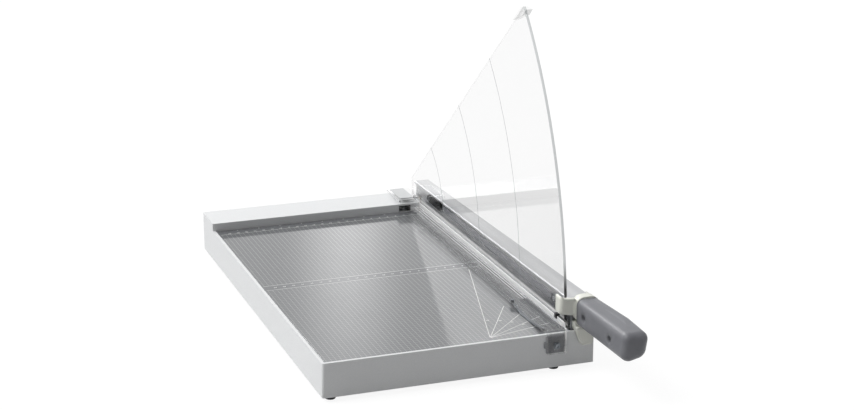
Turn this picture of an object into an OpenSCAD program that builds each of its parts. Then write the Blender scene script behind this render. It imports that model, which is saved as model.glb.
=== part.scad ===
// Lever paper trimmer: a glass table in a sheet steel base, a hinged blade arm,
// and a sprung pressure clamp that carries a clear fan-shaped guard.
// X runs left to right, Y front to back, Z up. Sizes are millimetres.

/* [Base] */
// Width of the base, left to right
body_w = 281.2; // [275:0.1:320]
// Depth of the base, front to back
body_d = 485.3; // [470:0.1:520]
// Height of the base walls
wall_h = 35.3; // [34:0.1:42]
// Thickness of the sheet steel
sheet_t = 2; // [1.5:0.1:2.4]
// Radius of the upright corners
corner_r = 2.5; // [1:0.1:3]
// Width of the folded rim
rim_w = 3.2; // [3:0.1:5]
// Depth of the folded rim
rim_h = 3; // [2:0.1:3.5]
// Width of the flange around the underside
flange_w = 18; // [16:0.5:20]
// Thickness of the bottom plate
floor_t = 1.2; // [1:0.1:2]
// Height of the right wall where offcuts fall out
low_wall_h = 20; // [12:1:28]

/* [Rear bar] */
// Rise of the raised bar across the back above the walls
bar_rise = 8.6; // [8.4:0.1:9.2]
// Depth of that bar, front to back
bar_d = 49; // [48:0.5:52]

/* [Feet] */
// Height of the feet
foot_h = 5; // [4:0.5:10]
// Diameter of a foot where it meets the base
foot_d = 12; // [10:0.5:13]
// Diameter of a foot on the ground
foot_tip_d = 10; // [8:0.5:12]
// Distance of the foot centres from the left, front and rear edges
foot_inset = 11; // [9:0.5:12]
// Distance of the right foot centres from the right edge
foot_right = 39.2; // [30:0.5:48]

/* [Table] */
// Thickness of the glass
glass_t = 5; // [4:0.5:6]
// How far the glass lies below the rim
table_drop = 1; // [0.5:0.1:1.5]
// Gap around the glass
glass_gap = 1.1; // [0.3:0.1:1.5]
// Distance of the cut from the right edge of the base
bay_w = 24.5; // [24:0.1:26]
// Number of channels under the glass
rail_count = 3; // [2:1:5]

/* [Clamp] */
// Width of the pressure plate
plate_w = 23.9; // [23:0.1:25]
// Thickness of the pressure plate
plate_t = 2.5; // [2:0.1:2.8]
// Room for paper under the raised plate
paper_gap = 3.5; // [3.2:0.1:3.8]
// Travel of the clamp
clamp_travel = 3; // [2:0.1:3]
// Height of the clear rail beside the fan guard
rail_h = 6.2; // [5:0.1:7]
// Thickness of that rail
rail_t = 3; // [2:0.1:3.5]

/* [Fan guard] */
// Thickness of the fan guard
fan_t = 3; // [2:0.1:3]
// Distance of the fan's curved edge from the front of the base
fan_front = 11.9; // [11:0.1:14]
// Slope of the fan's straight upper edge in degrees
fan_slope = 38.25; // [34:0.25:40]
// Distance of that edge from the pivot
fan_offset = 31.6; // [28:0.2:34]
// How far the fan reaches behind the pivot
fan_tail = 11.4; // [11:0.2:13]

/* [Arm] */
// Distance of the pivot from the back of the base
pivot_back = 24.5; // [23:0.1:26]
// How far the pivot lies below the top of the glass
pivot_drop = 0.2; // [0:0.1:1]
// Height of the arm's underside above the walls
arm_clear = 9.7; // [9:0.1:12]
// Height of the arm at its rear end
arm_rear_h = 14.8; // [14:0.1:18]
// Height of the arm at its front end
arm_front_h = 20.6; // [19:0.1:24]
// Width of the arm's bar at its rear end
arm_rear_w = 15.25; // [14:0.05:15.5]
// Width of the arm's bar at its front end
arm_front_w = 21.35; // [19:0.05:22]
// Thickness of the arm's top flange
arm_flange_t = 3.3; // [2.5:0.1:3.6]
// How far the arm reaches behind the pivot
arm_tail = 12.2; // [11:0.1:14]
// Radius of the lug round the pivot
lug_r = 14; // [13:0.5:15]

/* [Blade] */
// Thickness of the upper blade
blade_t = 3; // [2.5:0.1:3.4]
// Depth of the cutting edge below the glass in the middle of the blade
blade_dip = 7.3; // [6:0.1:9]
// Rise of the curved cutting edge towards its ends
blade_bow = 1.6; // [1:0.1:3]
// Thickness of the lower knife
knife_t = 3; // [2.5:0.1:4]

/* [Handle] */
// Length of the grip
grip_l = 111; // [100:1:130]
// Width of the grip
grip_w = 26; // [25:0.5:28]
// Height of the grip
grip_h = 29.8; // [28:0.1:31]
// Thickness of the collar between arm and grip
collar_t = 11; // [10:0.1:12]
// How far the collar stands out in front of the base
collar_out = 3; // [3:0.1:5]

/* [Pivot] */
// Diameter of the pivot bolt's shoulder
bolt_d = 10; // [8:0.5:11]
// Radial clearance of the bolt in its bush
bolt_clear = 0.03; // [0.02:0.01:0.08]
// Wall of the bush
bush_t = 2; // [1.5:0.1:2.5]
// Wall of the spacer between block and arm
spacer_t = 2; // [1.5:0.1:2.5]
// Thickness of the pivot block's upright plate
block_t = 6; // [5:0.1:7]

/* [Hidden] */
$fn = 64;

// Overrun of every cut
over = 1;
// Clearance between pieces of one body that are bolted together
fit_gap = 0.1;
// Clearance of a screw in its hole, on the diameter
hole_play = 0.2;
// Clearance between pieces that move past each other
slide_gap = 0.3;

// Places along X
cut_x = body_w - bay_w;
fan_x1 = cut_x - slide_gap;
fan_x0 = fan_x1 - fan_t;
rail_x0 = fan_x0 - rail_t;
bar_side_gap = 0.5;
bar_x1 = rail_x0 - bar_side_gap;
plate_x0 = rail_x0 - plate_w;
cut_gap = 0.05;
knife_x1 = cut_x - cut_gap;
knife_x0 = knife_x1 - knife_t;
blade_x0 = cut_x + cut_gap;
blade_x1 = blade_x0 + blade_t;
flange_side_gap = 0.5;
arm_flange_x0 = cut_x + flange_side_gap;
arm_rear_x1 = blade_x1 + arm_rear_w;
arm_front_x1 = blade_x1 + arm_front_w;
grip_from_cut = 3.3;
grip_x0 = cut_x + grip_from_cut;
grip_x1 = grip_x0 + grip_w;

// Places along Y
bar_y = body_d - bar_d;
pivot_y = body_d - pivot_back;
collar_y0 = -collar_out;
collar_y1 = collar_y0 + collar_t;
arm_y0 = collar_y1;
arm_y1 = pivot_y + arm_tail;
grip_y0 = collar_y0 - grip_l;
fan_r = pivot_y - fan_front;

// Heights
table_z = wall_h - table_drop;
bar_h = wall_h + bar_rise;
floor_top = sheet_t + floor_t;
glass_z0 = table_z - glass_t;
pad_t = 1.5;
support_z = glass_z0 - pad_t;
plate_z0 = table_z + paper_gap;
plate_z1 = plate_z0 + plate_t;
rail_z1 = plate_z0 + rail_h;
pivot_z = table_z - pivot_drop;
arm_z0 = wall_h + arm_clear;
arm_rear_top = arm_z0 + arm_rear_h;
arm_front_top = arm_z0 + arm_front_h;
arm_rise_angle = atan((arm_front_top - arm_rear_top) / (arm_y1 - arm_y0));

// Middle of the whole object, which the origin lies under
mid_x = grip_x1 / 2;
mid_y = (body_d + grip_y0) / 2;

// Fasteners
screw_d = 4;
screw_head_d = 7;
screw_head_h = 1.6;
screw_grip = 3;
small_screw_d = 3;
small_head_d = 5.2;
small_head_h = 1.4;
screw_edge = 9;
bottom_screw_x_shares = [0.27, 0.62];

// Foot screws
foot_recess_z = 3;

// Table channels
channel_w = 26;
channel_t = 1.5;
channel_lip = 8;
channel_y_shares = [for (i = [0 : rail_count - 1]) (i + 0.5) / rail_count];
beam_w = 13;
beam_wall = 3;
beam_end_gap = 1;
beam_front_gap = 6.5;
beam_screw_shares = [0.14, 0.5, 0.86];
knife_drop = 24;
knife_end_gap = 1.2;
knife_screw_count = 6;
knife_screw_drop = 13;
knife_head_d = 6.5;
knife_head_h = 1.4;

// Rear window, guide and lift spring
window_w = 15;
window_in = 1.2;
window_rise = 0.3;
tongue_gap = 1;
tongue_l = 14;
guide_pin_d = 4;
guide_pin_back = 7.2;
guide_pin_head_d = 7;
guide_pin_head_h = 1.2;
guide_head_gap = 0.05;
guide_post_d = 10;
guide_post_h = 9;
guide_base_t = 2;
guide_base_w = 14;
guide_base_l = 12;
spring_wire_d = 1;
spring_mean_d = 7.6;
spring_turns = 6;
spring_sides = 6;
spring_steps = 12;
spring_end_gap = 0.3;

// Front guide
tab_t = 3;
tab_w = 20.5;
tab_gap = 2;
tab_in = 2;
tab_drop = 26;
tab_corner_r = 2;
neck_t = 2;
neck_rise = 1.4;
neck_l = 5;
slot_w = 4.6;
guide_drop = 10.9;
guide_z = wall_h - guide_drop;
guide_pad_t = 1.7;
guide_pad_low = 8.8;
guide_pad_high = 9.6;
guide_ear_h = 6.5;
guide_pad_w = 24;
guide_pad_r = 1;
guide_peg_d = 2.4;
guide_peg_drop = 4.4;
guide_head_d = 5.2;
guide_head_h = 1.6;
guide_washer_d = 7;
guide_washer_t = 0.7;
guide_nut_af = 7;
guide_nut_t = 3;
guide_play = 0.2;

// Ribs, rail ends, wire and strip spring of the clamp
rib_w = 0.6;
rib_h = 0.5;
rib_in = 1.2;
rib_pitch = 2.1;
rib_front_share = 0.24;
rib_end_w = 4.5;
clamp_front = 6;
clamp_back_gap = 1.3;
rail_back = 12;
rail_nose = 3.2;
rail_nose_h = 2;
wire_block_l = 5.4;
wire_block_h = 2.4;
wire_block_y = 22.4;
wire_block_in = 0.25;
wire_block_side = 1;
wire_block_lap = 2.6;
wire_d = 1.5;
wire_front = -3.4;
wire_down = 4.7;
wire_foot_l = 5.8;
wire_foot_d = 2.4;
strip_w = 4;
strip_t = 0.4;
strip_front = 12;
strip_rear = 95;
strip_in = 1.5;
strip_bow_gap = 0.4;
strip_button_d = 4;
strip_button_h = 0.8;
clip_side = 2.4;
clip_l = 28.6;
clip_out = 9.6;
clip_in = 1.6;
clip_drop = 9.2;

// Rear tab
rear_tab_w = 27.5;
rear_tab_l = 50;
rear_tab_t = 2.5;
rear_tab_r = 2;
rear_tab_play = 0.3;
rear_web_t = 2.4;
panel_in = 3.5;
panel_t = 0.5;
button_d = 5;
button_h = 2.2;

// Fan notch and pivot pieces
notch_play = 0.6;
fan_corner_share = 1.2;
spacer_d = bolt_d + 2 * spacer_t;
head_af_h = 2.9;
head_d = 16;
socket_d = 6;
socket_depth = 2;
washer_t = 1;
bush_flange_t = 1;
bush_flange_w = 2;
lug_slope_share = 2.2;
thread_d = 8;
disc_d = 15;
disc_t = 1;
disc_cone = 0.5;
disc_count = 4;
nut_af = 13;
nut_t = 6.5;
thread_out = 2;
block_front = 18.4;
block_back = 18;
block_top_gap = 0.3;
block_foot_w = 36;
block_foot_t = 5;
block_foot_front = 9;
block_screw_in = 6;
block_screw_head_h = 4;
block_rib_t = 4;
block_rib_w = 10;
end_wall_hole_play = 1;
access_r = 9.5;
wall_step_front = 22;

// Buffer under the arm
buffer_y = 26;
buffer_l = 16;
buffer_w = 12;
buffer_h = 5;
buffer_from_blade = 3;
post_t = 2.5;
post_foot_l = 26;
buffer_bore_d = 4;
buffer_bore_depth = 2.5;

// Blade pieces
blade_front = 5;
blade_back = 30.8;
blade_top_rise = 5.2;
blade_top_z = arm_z0 + blade_top_rise;
blade_bow_steps = 34;
bevel_h = 7;
bevel_edge = 0.4;
relief_t = 0.25;
relief_z = 11;
backing_t = 2.55;
backing_rise = 5.6;
backing_z0 = arm_z0 + backing_rise;
backing_h = 6.5;
backing_front = 55;
backing_back = 87.8;
blade_screw_count = 6;
blade_screw_rise = 3;
blade_screw_z = arm_z0 + blade_screw_rise;
blade_screw_l = 8;
blade_screw_blind = 1;
strip_screw_count = 4;
set_block_l = 45;
set_block_h = 9.2;
set_block_back = 34.8;
set_block_rise = 7.4;
set_block_z = arm_z0 + set_block_rise;
set_block_t = 2.75;
set_notch_gap = 0.4;
set_screw_d = 5;
set_screw_depth = 6;
set_screw_front_y = 48;
set_screw_rise = 8.3;
set_screw_z = arm_z0 + set_screw_rise;
set_screw_out = 0.2;
set_screw_from_end = 5;

// Handle pieces
tang_w = 9;
tang_h = 15;
tang_from_left = 8.5;
tang_drop = 2.2;
tang_end_in = 11;
tang_gap = 0.15;
collar_w = 26.2;
collar_x_back = 1.2;
collar_h = 27;
collar_r = 10;
collar_top = 4.9;
cheek_t = 3.2;
cheek_l = 20;
cheek_gap = 0.2;
cheek_h = 18;
cheek_screw_shares = [0.3, 0.72];
hook_left = 13.4;
hook_t = 3.5;
hook_band_t = 5.5;
hook_band_y = -1;
hook_l = 12;
hook_r = 3.4;
hook_bottom = 6.7;
hook_slant = 3.2;
hook_top = 27.2;
// Top line of the hook from its left edge: shares of its width, and of its height downwards
hook_top_shares = [
    [0, 0.02], [0.05, 0], [0.14, 0.012], [0.19, 0.045], [0.25, 0.085], [0.33, 0.115], [0.45, 0.13],
    [0.7, 0.15], [1, 0.17]
];
// Tongue in front of the wall, below the grip
tongue_drop = 13.3;
tongue_wall_gap = 1.2;
tongue_out = 5;
tongue_rim_gap = 0.8;
tongue_grip_gap = 0.2;
tongue_step = 2.2;
tongue_toe = 1.4;
// Front view of the tongue: shares of the collar's width and of the tongue's height
tongue_outline_shares = [
    [0, 1], [0, 0.76], [0.061, 0.478], [0.149, 0.196], [0.205, 0.06], [0.25, 0], [0.575, 0],
    [0.622, 0.05], [0.645, 0.13], [0.676, 0.304], [0.752, 0.696], [0.79, 1]
];
seam_share = 0.515;
grip_screw_shares = [0.143, 0.682];
grip_screw_head_d = 7.4;
grip_recess_d = 8.5;
grip_recess_depth = 4;
grip_head_h = 2.2;
grip_screw_drop = 16.7;
grip_wall_left = 2;
grip_screw_end_in = 4;
grip_fall = 3.8;
grip_z0 = arm_z0 - grip_fall;
// Balls that the grip is drawn over: side (0 left, 1 right), shares of its length and its height,
// and the radius as a share of its height
grip_ball_shares = [
    [0, -0.01, 0.722, 0.211], [0, -0.01, 0.158, 0.134], [1, -0.01, 0.621, 0.309],
    [1, -0.01, 0.446, 0.403],
    [0, 0.946, 0.799, 0.201], [0, 0.905, 0.275, 0.275], [1, 0.928, 0.732, 0.268],
    [1, 0.897, 0.433, 0.383], [1, 0.6, 0.805, 0.195]
];

// Colours as photographed
pale = "#DADBDB";
dark_glass = "#8A8D8F";
steel = "#B9BCBF";
dark_steel = "#6E7275";
clear = [0.93, 0.95, 0.96, 0.45];
black = "#232427";
warm_white = "#E6E7DF";
grip_grey = "#7A7B80";

// Every piece is drawn with the base's front left bottom corner at zero, then set over the origin
module placed() {
    translate([-mid_x, -mid_y, foot_h]) children();
}

// A box between two opposite corners
module block(x0, y0, z0, x1, y1, z1) {
    translate([x0, y0, z0]) cube([x1 - x0, y1 - y0, z1 - z0]);
}

module rod_x(y, z, x0, x1, d) {
    translate([x0, y, z]) rotate([0, 90, 0]) cylinder(d = d, h = x1 - x0);
}

module rod_y(x, z, y0, y1, d) {
    translate([x, y0, z]) rotate([-90, 0, 0]) cylinder(d = d, h = y1 - y0);
}

module rod_z(x, y, z0, z1, d) {
    translate([x, y, z0]) cylinder(d = d, h = z1 - z0);
}

// A flat shape drawn in Y and Z, given its thickness along X
module along_x(x0, x1) {
    translate([x0, 0, 0]) rotate([90, 0, 90]) linear_extrude(x1 - x0) children();
}

// A flat shape drawn in X and Z, given its length along Y
module along_y(y0, y1) {
    translate([0, y1, 0]) rotate([90, 0, 0]) linear_extrude(y1 - y0) children();
}

// A rectangle with four round corners
module round_rect(x0, y0, x1, y1, r) {
    translate([x0 + r, y0]) square([x1 - x0 - 2 * r, y1 - y0]);
    translate([x0, y0 + r]) square([x1 - x0, y1 - y0 - 2 * r]);
    for (x = [x0 + r, x1 - r], y = [y0 + r, y1 - r])
        translate([x, y]) circle(r);
}

module rect(x0, y0, x1, y1) {
    translate([x0, y0]) square([x1 - x0, y1 - y0]);
}

// Places of repeated fasteners
foot_x = [foot_inset, body_w - foot_right];
foot_y = [foot_inset, body_d - foot_inset];
bottom_screw_places = concat(
    [for (s = bottom_screw_x_shares, y = [screw_edge, body_d - screw_edge]) [s * body_w, y]],
    [for (i = [1 : rail_count - 1], x = [screw_edge, body_w - screw_edge]) [x, i * bar_y / rail_count]]
);
beam_x1 = knife_x0;
beam_x0 = beam_x1 - beam_w;
beam_y0 = rim_w + beam_front_gap;
beam_y1 = bar_y - beam_end_gap;
beam_screw_places = [for (s = beam_screw_shares) beam_y0 + s * (beam_y1 - beam_y0)];
window_x0 = plate_x0 - window_in;
guide_pin_x = window_x0 + window_w / 2;
guide_pin_y = bar_y + guide_pin_back;
block_x1 = bar_x1 - sheet_t - fit_gap;
block_x0 = block_x1 - block_t;
block_foot_x0 = block_x1 - block_foot_w;
block_screw_y = pivot_y + block_back - block_screw_in;
block_screw_x = [block_foot_x0 + block_screw_in, block_x0 - block_rib_w];

module bottom_screw_holes(z0, z1) {
    for (p = bottom_screw_places)
        rod_z(p[0], p[1], z0, z1, screw_d + hole_play);
}

module foot_holes(z0, z1) {
    for (x = foot_x, y = foot_y)
        rod_z(x, y, z0, z1, screw_d + hole_play);
}

// Sheet steel shell: walls with a folded rim, a flange round the underside and the raised rear bar
module housing() {
    color(pale) placed() difference() {
        union() {
            linear_extrude(wall_h) round_rect(0, 0, body_w, body_d, corner_r);
            linear_extrude(bar_h) intersection() {
                round_rect(0, 0, body_w, body_d, corner_r);
                rect(0, bar_y, bar_x1, body_d);
            }
        }
        block(sheet_t, sheet_t, sheet_t, body_w - sheet_t, body_d - sheet_t, wall_h - rim_h);
        block(rim_w, rim_w, sheet_t, body_w - rim_w, bar_y, wall_h + over);
        block(bar_x1, rim_w, sheet_t, body_w - rim_w, body_d - rim_w, bar_h + over);
        block(sheet_t, bar_y + sheet_t, sheet_t, bar_x1 - sheet_t, body_d - sheet_t, bar_h - sheet_t);
        block(flange_w, flange_w, -over, body_w - flange_w, body_d - flange_w, sheet_t + over);
        offcut_opening();
        bar_window();
        rod_x(pivot_y, pivot_z, bar_x1 - sheet_t - over, bar_x1 + over, spacer_d + end_wall_hole_play);
        rod_x(pivot_y, pivot_z, body_w - rim_w - over, body_w + over, 2 * access_r);
        bottom_screw_holes(-over, sheet_t + over);
        foot_holes(-over, sheet_t + over);
        for (x = block_screw_x)
            rod_z(x, block_screw_y, -over, sheet_t + over, screw_d + hole_play);
        rod_y(tab_mid_x, guide_z, -over, sheet_t + over, screw_d + hole_play);
    }
}

// The right wall is lower along the cut, with a round shoulder at each end
module offcut_opening() {
    shoulder_r = wall_h - low_wall_h;
    along_x(body_w - rim_w - over, body_w + over) difference() {
        rect(wall_step_front, low_wall_h, bar_y, wall_h + over);
        difference() {
            rect(wall_step_front, low_wall_h, wall_step_front + shoulder_r / 2, low_wall_h + shoulder_r / 2);
            translate([wall_step_front + shoulder_r / 2, low_wall_h + shoulder_r / 2]) circle(shoulder_r / 2);
        }
        difference() {
            rect(bar_y - shoulder_r / 2, low_wall_h, bar_y, low_wall_h + shoulder_r / 2);
            translate([bar_y - shoulder_r / 2, low_wall_h + shoulder_r / 2]) circle(shoulder_r / 2);
        }
    }
}

module bar_window() {
    block(window_x0, bar_y - over, table_z + window_rise, window_x0 + window_w,
        bar_y + sheet_t + over, bar_h - sheet_t);
}

module bottom_plate() {
    color(pale) placed() difference() {
        translate([0, 0, sheet_t]) linear_extrude(floor_t)
            round_rect(sheet_t + fit_gap, sheet_t + fit_gap, body_w - sheet_t - fit_gap,
                body_d - sheet_t - fit_gap, corner_r);
        bottom_screw_holes(sheet_t - over, floor_top + over);
        foot_holes(sheet_t - over, floor_top + over);
        for (y = beam_screw_places)
            rod_z((beam_x0 + beam_x1) / 2, y, sheet_t - over, floor_top + over, screw_d + hole_play);
        for (x = block_screw_x)
            rod_z(x, block_screw_y, sheet_t - over, floor_top + over, screw_d + hole_play);
    }
}

// A flat-headed screw that points up, its head under z0
module screw_up(x, y, z0, reach) {
    rod_z(x, y, z0 - screw_head_h, z0, screw_head_d);
    rod_z(x, y, z0 - screw_head_h / 2, z0 + reach, screw_d);
}

module bottom_plate_screws() {
    color(steel) placed()
        for (p = bottom_screw_places)
            screw_up(p[0], p[1], 0, floor_top + screw_grip);
}

module rubber_feet() {
    color(black) placed()
        for (x = foot_x, y = foot_y)
            difference() {
                translate([x, y, -foot_h]) cylinder(d1 = foot_tip_d, d2 = foot_d, h = foot_h);
                rod_z(x, y, -foot_h - over, -foot_h + foot_recess_z, screw_head_d + hole_play);
                rod_z(x, y, -foot_h - over, over, screw_d + hole_play);
            }
}

module foot_screws() {
    color(steel) placed()
        for (x = foot_x, y = foot_y)
            screw_up(x, y, -foot_h + foot_recess_z, foot_h - foot_recess_z + floor_top);
}

// Pressed channels that carry the glass: a top web, two sides and two lips
module channel_profile(y) {
    half = channel_w / 2;
    rect(y - half, support_z - channel_t, y + half, support_z);
    rect(y - half, floor_top, y - half + channel_t, support_z);
    rect(y + half - channel_t, floor_top, y + half, support_z);
    rect(y - half - channel_lip, floor_top, y - half + channel_t, floor_top + channel_t);
    rect(y + half - channel_t, floor_top, y + half + channel_lip, floor_top + channel_t);
}

module table_channels() {
    color(steel) placed()
        for (s = channel_y_shares)
            along_x(sheet_t + fit_gap, beam_x0 - fit_gap) channel_profile(s * bar_y);
}

module glass_pads() {
    color(black) placed() {
        for (s = channel_y_shares)
            block(rim_w + glass_gap, s * bar_y - channel_w / 4, support_z,
                beam_x0 - fit_gap, s * bar_y + channel_w / 4, glass_z0);
        block(beam_x0 + beam_wall, beam_y0, support_z, beam_x1 - beam_wall, beam_y1, glass_z0);
    }
}

// Float glass with ground corners, its top a little below the rim
module glass_table() {
    color(dark_glass) placed()
        translate([0, 0, glass_z0]) linear_extrude(glass_t)
            round_rect(rim_w + glass_gap, rim_w + glass_gap, knife_x0 - fit_gap, bar_y - glass_gap,
                corner_r / 2);
}

// Rectangular steel tube under the edge of the glass
module knife_beam() {
    color(dark_steel) placed() difference() {
        along_y(beam_y0, beam_y1) difference() {
            rect(beam_x0, floor_top, beam_x1, support_z);
            rect(beam_x0 + beam_wall, floor_top + beam_wall, beam_x1 - beam_wall, support_z - beam_wall);
        }
        for (y = beam_screw_places)
            rod_z((beam_x0 + beam_x1) / 2, y, floor_top - over, floor_top + beam_wall + over,
                screw_d + hole_play);
        for (y = knife_screw_places)
            rod_x(y, table_z - knife_screw_drop, beam_x1 - beam_wall - over, beam_x1 + over,
                screw_d + hole_play);
    }
}

module knife_beam_screws() {
    color(steel) placed()
        for (y = beam_screw_places)
            screw_up((beam_x0 + beam_x1) / 2, y, sheet_t, floor_t + beam_wall + screw_grip);
}

knife_y0 = rim_w + knife_end_gap;
knife_y1 = bar_y - knife_end_gap;
knife_screw_places = [for (i = [0 : knife_screw_count - 1])
    knife_y0 + (i + 0.5) * (knife_y1 - knife_y0) / knife_screw_count];

// Counter blade: its upper right edge is the line of the cut
module lower_knife() {
    color(steel) placed() difference() {
        block(knife_x0, knife_y0, table_z - knife_drop, knife_x1, knife_y1, table_z);
        for (y = knife_screw_places)
            knife_screw(y, hole_play);
    }
}

module knife_screw(y, play) {
    z = table_z - knife_screw_drop;
    rod_x(y, z, knife_x0 - beam_wall - screw_grip, knife_x1 - knife_head_h, screw_d + play);
    translate([knife_x1 - knife_head_h, y, z]) rotate([0, 90, 0])
        cylinder(d1 = screw_d + play, d2 = knife_head_d + play, h = knife_head_h);
}

module lower_knife_screws() {
    color(steel) placed()
        for (y = knife_screw_places)
            knife_screw(y, 0);
}

// Steel block inside the bar: an upright plate with the bolt's bore, on a foot with a rib
module pivot_block() {
    color(dark_steel) placed() difference() {
        union() {
            block(block_x0, pivot_y - block_front, floor_top, block_x1, pivot_y + block_back,
                bar_h - sheet_t - block_top_gap);
            block(block_foot_x0, pivot_y - block_foot_front, floor_top, block_x1,
                pivot_y + block_back, floor_top + block_foot_t);
            block(block_x0 - block_rib_w, pivot_y - block_rib_t / 2, floor_top, block_x0,
                pivot_y + block_rib_t / 2, pivot_z - disc_d / 2 - block_rib_t / 2);
        }
        rod_x(pivot_y, pivot_z, block_x0 - over, block_x1 + over, bolt_d + 2 * bolt_clear);
        for (x = block_screw_x)
            rod_z(x, block_screw_y, floor_top - over, floor_top + block_foot_t + over, screw_d + hole_play);
    }
}

module pivot_block_screws() {
    color(steel) placed()
        for (x = block_screw_x) {
            rod_z(x, block_screw_y, floor_top + block_foot_t, floor_top + block_foot_t + block_screw_head_h,
                screw_head_d);
            rod_z(x, block_screw_y, 0, floor_top + block_foot_t + over, screw_d);
        }
}

// Stack along the pivot, from the arm's outer face to the lock nut
lug_x1 = arm_rear_x1;
washer_x0 = lug_x1 + cut_gap;
bolt_head_x0 = washer_x0 + washer_t + cut_gap;
spacer_x1 = blade_x1 - bush_flange_t - cut_gap;
disc_h = disc_t + disc_cone;
disc_x0 = block_x0 - cut_gap - disc_count * disc_h;
nut_x1 = disc_x0 - cut_gap;
nut_x0 = nut_x1 - nut_t;

module pivot_bolt() {
    color(steel) placed() difference() {
        union() {
            rod_x(pivot_y, pivot_z, bolt_head_x0, bolt_head_x0 + head_af_h, head_d);
            rod_x(pivot_y, pivot_z, block_x0, bolt_head_x0 + over, bolt_d);
            rod_x(pivot_y, pivot_z, nut_x0 - thread_out, block_x0 + over, thread_d);
        }
        translate([bolt_head_x0 + head_af_h - socket_depth, pivot_y, pivot_z])
            rotate([0, 90, 0]) cylinder(d = socket_d, h = socket_depth + over, $fn = 6);
    }
}

module pivot_spacer() {
    color(steel) placed() difference() {
        rod_x(pivot_y, pivot_z, block_x1, spacer_x1, spacer_d);
        rod_x(pivot_y, pivot_z, block_x1 - over, spacer_x1 + over, bolt_d + 2 * bolt_clear);
    }
}

// Cone-shaped spring washers in pairs that face each other
module disc_springs() {
    color(dark_steel) placed()
        for (i = [0 : disc_count - 1])
            translate([disc_x0 + i * disc_h, pivot_y, pivot_z]) rotate([0, 90, 0])
                translate([0, 0, i % 2 == 0 ? 0 : disc_h]) mirror([0, 0, i % 2])
                    rotate_extrude() polygon([
                        [thread_d / 2 + hole_play, disc_cone], [disc_d / 2, 0],
                        [disc_d / 2, disc_t], [thread_d / 2 + hole_play, disc_h]
                    ]);
}

module pivot_nut() {
    color(steel) placed() difference() {
        translate([nut_x0, pivot_y, pivot_z]) rotate([0, 90, 0])
            cylinder(d = nut_af / cos(30), h = nut_t, $fn = 6);
        rod_x(pivot_y, pivot_z, nut_x0 - over, nut_x1 + over, thread_d + hole_play / 2);
    }
}

module pivot_washer() {
    color(steel) placed() difference() {
        rod_x(pivot_y, pivot_z, washer_x0, washer_x0 + washer_t, head_d);
        rod_x(pivot_y, pivot_z, washer_x0 - over, washer_x0 + washer_t + over, bolt_d + hole_play);
    }
}

// Bent steel post that holds the rubber under the lowered arm
buffer_x0 = blade_x1 + buffer_from_blade;
buffer_top = arm_z0 - slide_gap;
module buffer_post() {
    color(dark_steel) placed() difference() {
        along_x(buffer_x0, buffer_x0 + buffer_w) {
            rect(buffer_y, floor_top, buffer_y + post_t, buffer_top - buffer_h);
            rect(buffer_y, floor_top, buffer_y + post_foot_l, floor_top + post_t);
            rect(buffer_y, buffer_top - buffer_h - post_t, buffer_y + buffer_l, buffer_top - buffer_h);
        }
        rod_z(buffer_x0 + buffer_w / 2, buffer_y + buffer_l / 2, buffer_top - buffer_h - post_t - over,
            buffer_top - buffer_h + over, buffer_bore_d + hole_play);
    }
}

module arm_buffer() {
    color(black) placed() {
        translate([0, 0, buffer_top - buffer_h]) linear_extrude(buffer_h)
            round_rect(buffer_x0, buffer_y, buffer_x0 + buffer_w, buffer_y + buffer_l, corner_r);
        rod_z(buffer_x0 + buffer_w / 2, buffer_y + buffer_l / 2, buffer_top - buffer_h - buffer_bore_depth,
            buffer_top - buffer_h + over, buffer_bore_d);
    }
}

// Front guide: a pad on the wall, and a screw with a washer and a nut, for the slotted tab
tab_x0 = plate_x0 + tab_in;
tab_x1 = tab_x0 + tab_w;
tab_mid_x = (tab_x0 + tab_x1) / 2;
tab_y1 = -tab_gap;
tab_y0 = tab_y1 - tab_t;

module guide_pad() {
    half_w = (tab_w - tab_corner_r / 2) / 2;
    color(black) placed() difference() {
        union() {
            along_y(-guide_pad_t, 0) {
                round_rect(tab_mid_x - half_w, guide_z - guide_pad_low, tab_mid_x + half_w,
                    guide_z + guide_pad_high, guide_pad_r);
                round_rect(tab_mid_x - guide_pad_w / 2, guide_z - guide_ear_h / 2,
                    tab_mid_x + guide_pad_w / 2, guide_z + guide_ear_h / 2, guide_pad_r);
            }
            rod_y(tab_mid_x, guide_z - guide_peg_drop, tab_y0, 0, guide_peg_d);
        }
        rod_y(tab_mid_x, guide_z, -guide_pad_t - over, over, screw_d + hole_play);
    }
}

module guide_screw() {
    washer_y0 = tab_y0 - guide_play - guide_washer_t;
    color(steel) placed() difference() {
        union() {
            rod_y(tab_mid_x, guide_z, washer_y0 - guide_head_h, washer_y0, guide_head_d);
            rod_y(tab_mid_x, guide_z, washer_y0 - over, sheet_t + guide_nut_t + over, screw_d);
        }
        translate([tab_mid_x, washer_y0 - guide_head_h - over, guide_z]) rotate([-90, 0, 0])
            cylinder(d = screw_d - over, h = over + guide_head_h / 2, $fn = 6);
    }
}

module guide_washer() {
    washer_y1 = tab_y0 - guide_play;
    color(steel) placed() difference() {
        rod_y(tab_mid_x, guide_z, washer_y1 - guide_washer_t, washer_y1, guide_washer_d);
        rod_y(tab_mid_x, guide_z, washer_y1 - guide_washer_t - over, washer_y1 + over, screw_d + hole_play);
    }
}

module guide_nut() {
    color(steel) placed() difference() {
        translate([tab_mid_x, sheet_t, guide_z]) rotate([-90, 0, 0])
            cylinder(d = guide_nut_af / cos(30), h = guide_nut_t, $fn = 6);
        rod_y(tab_mid_x, guide_z, sheet_t - over, sheet_t + guide_nut_t + over, screw_d + hole_play / 2);
    }
}

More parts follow.
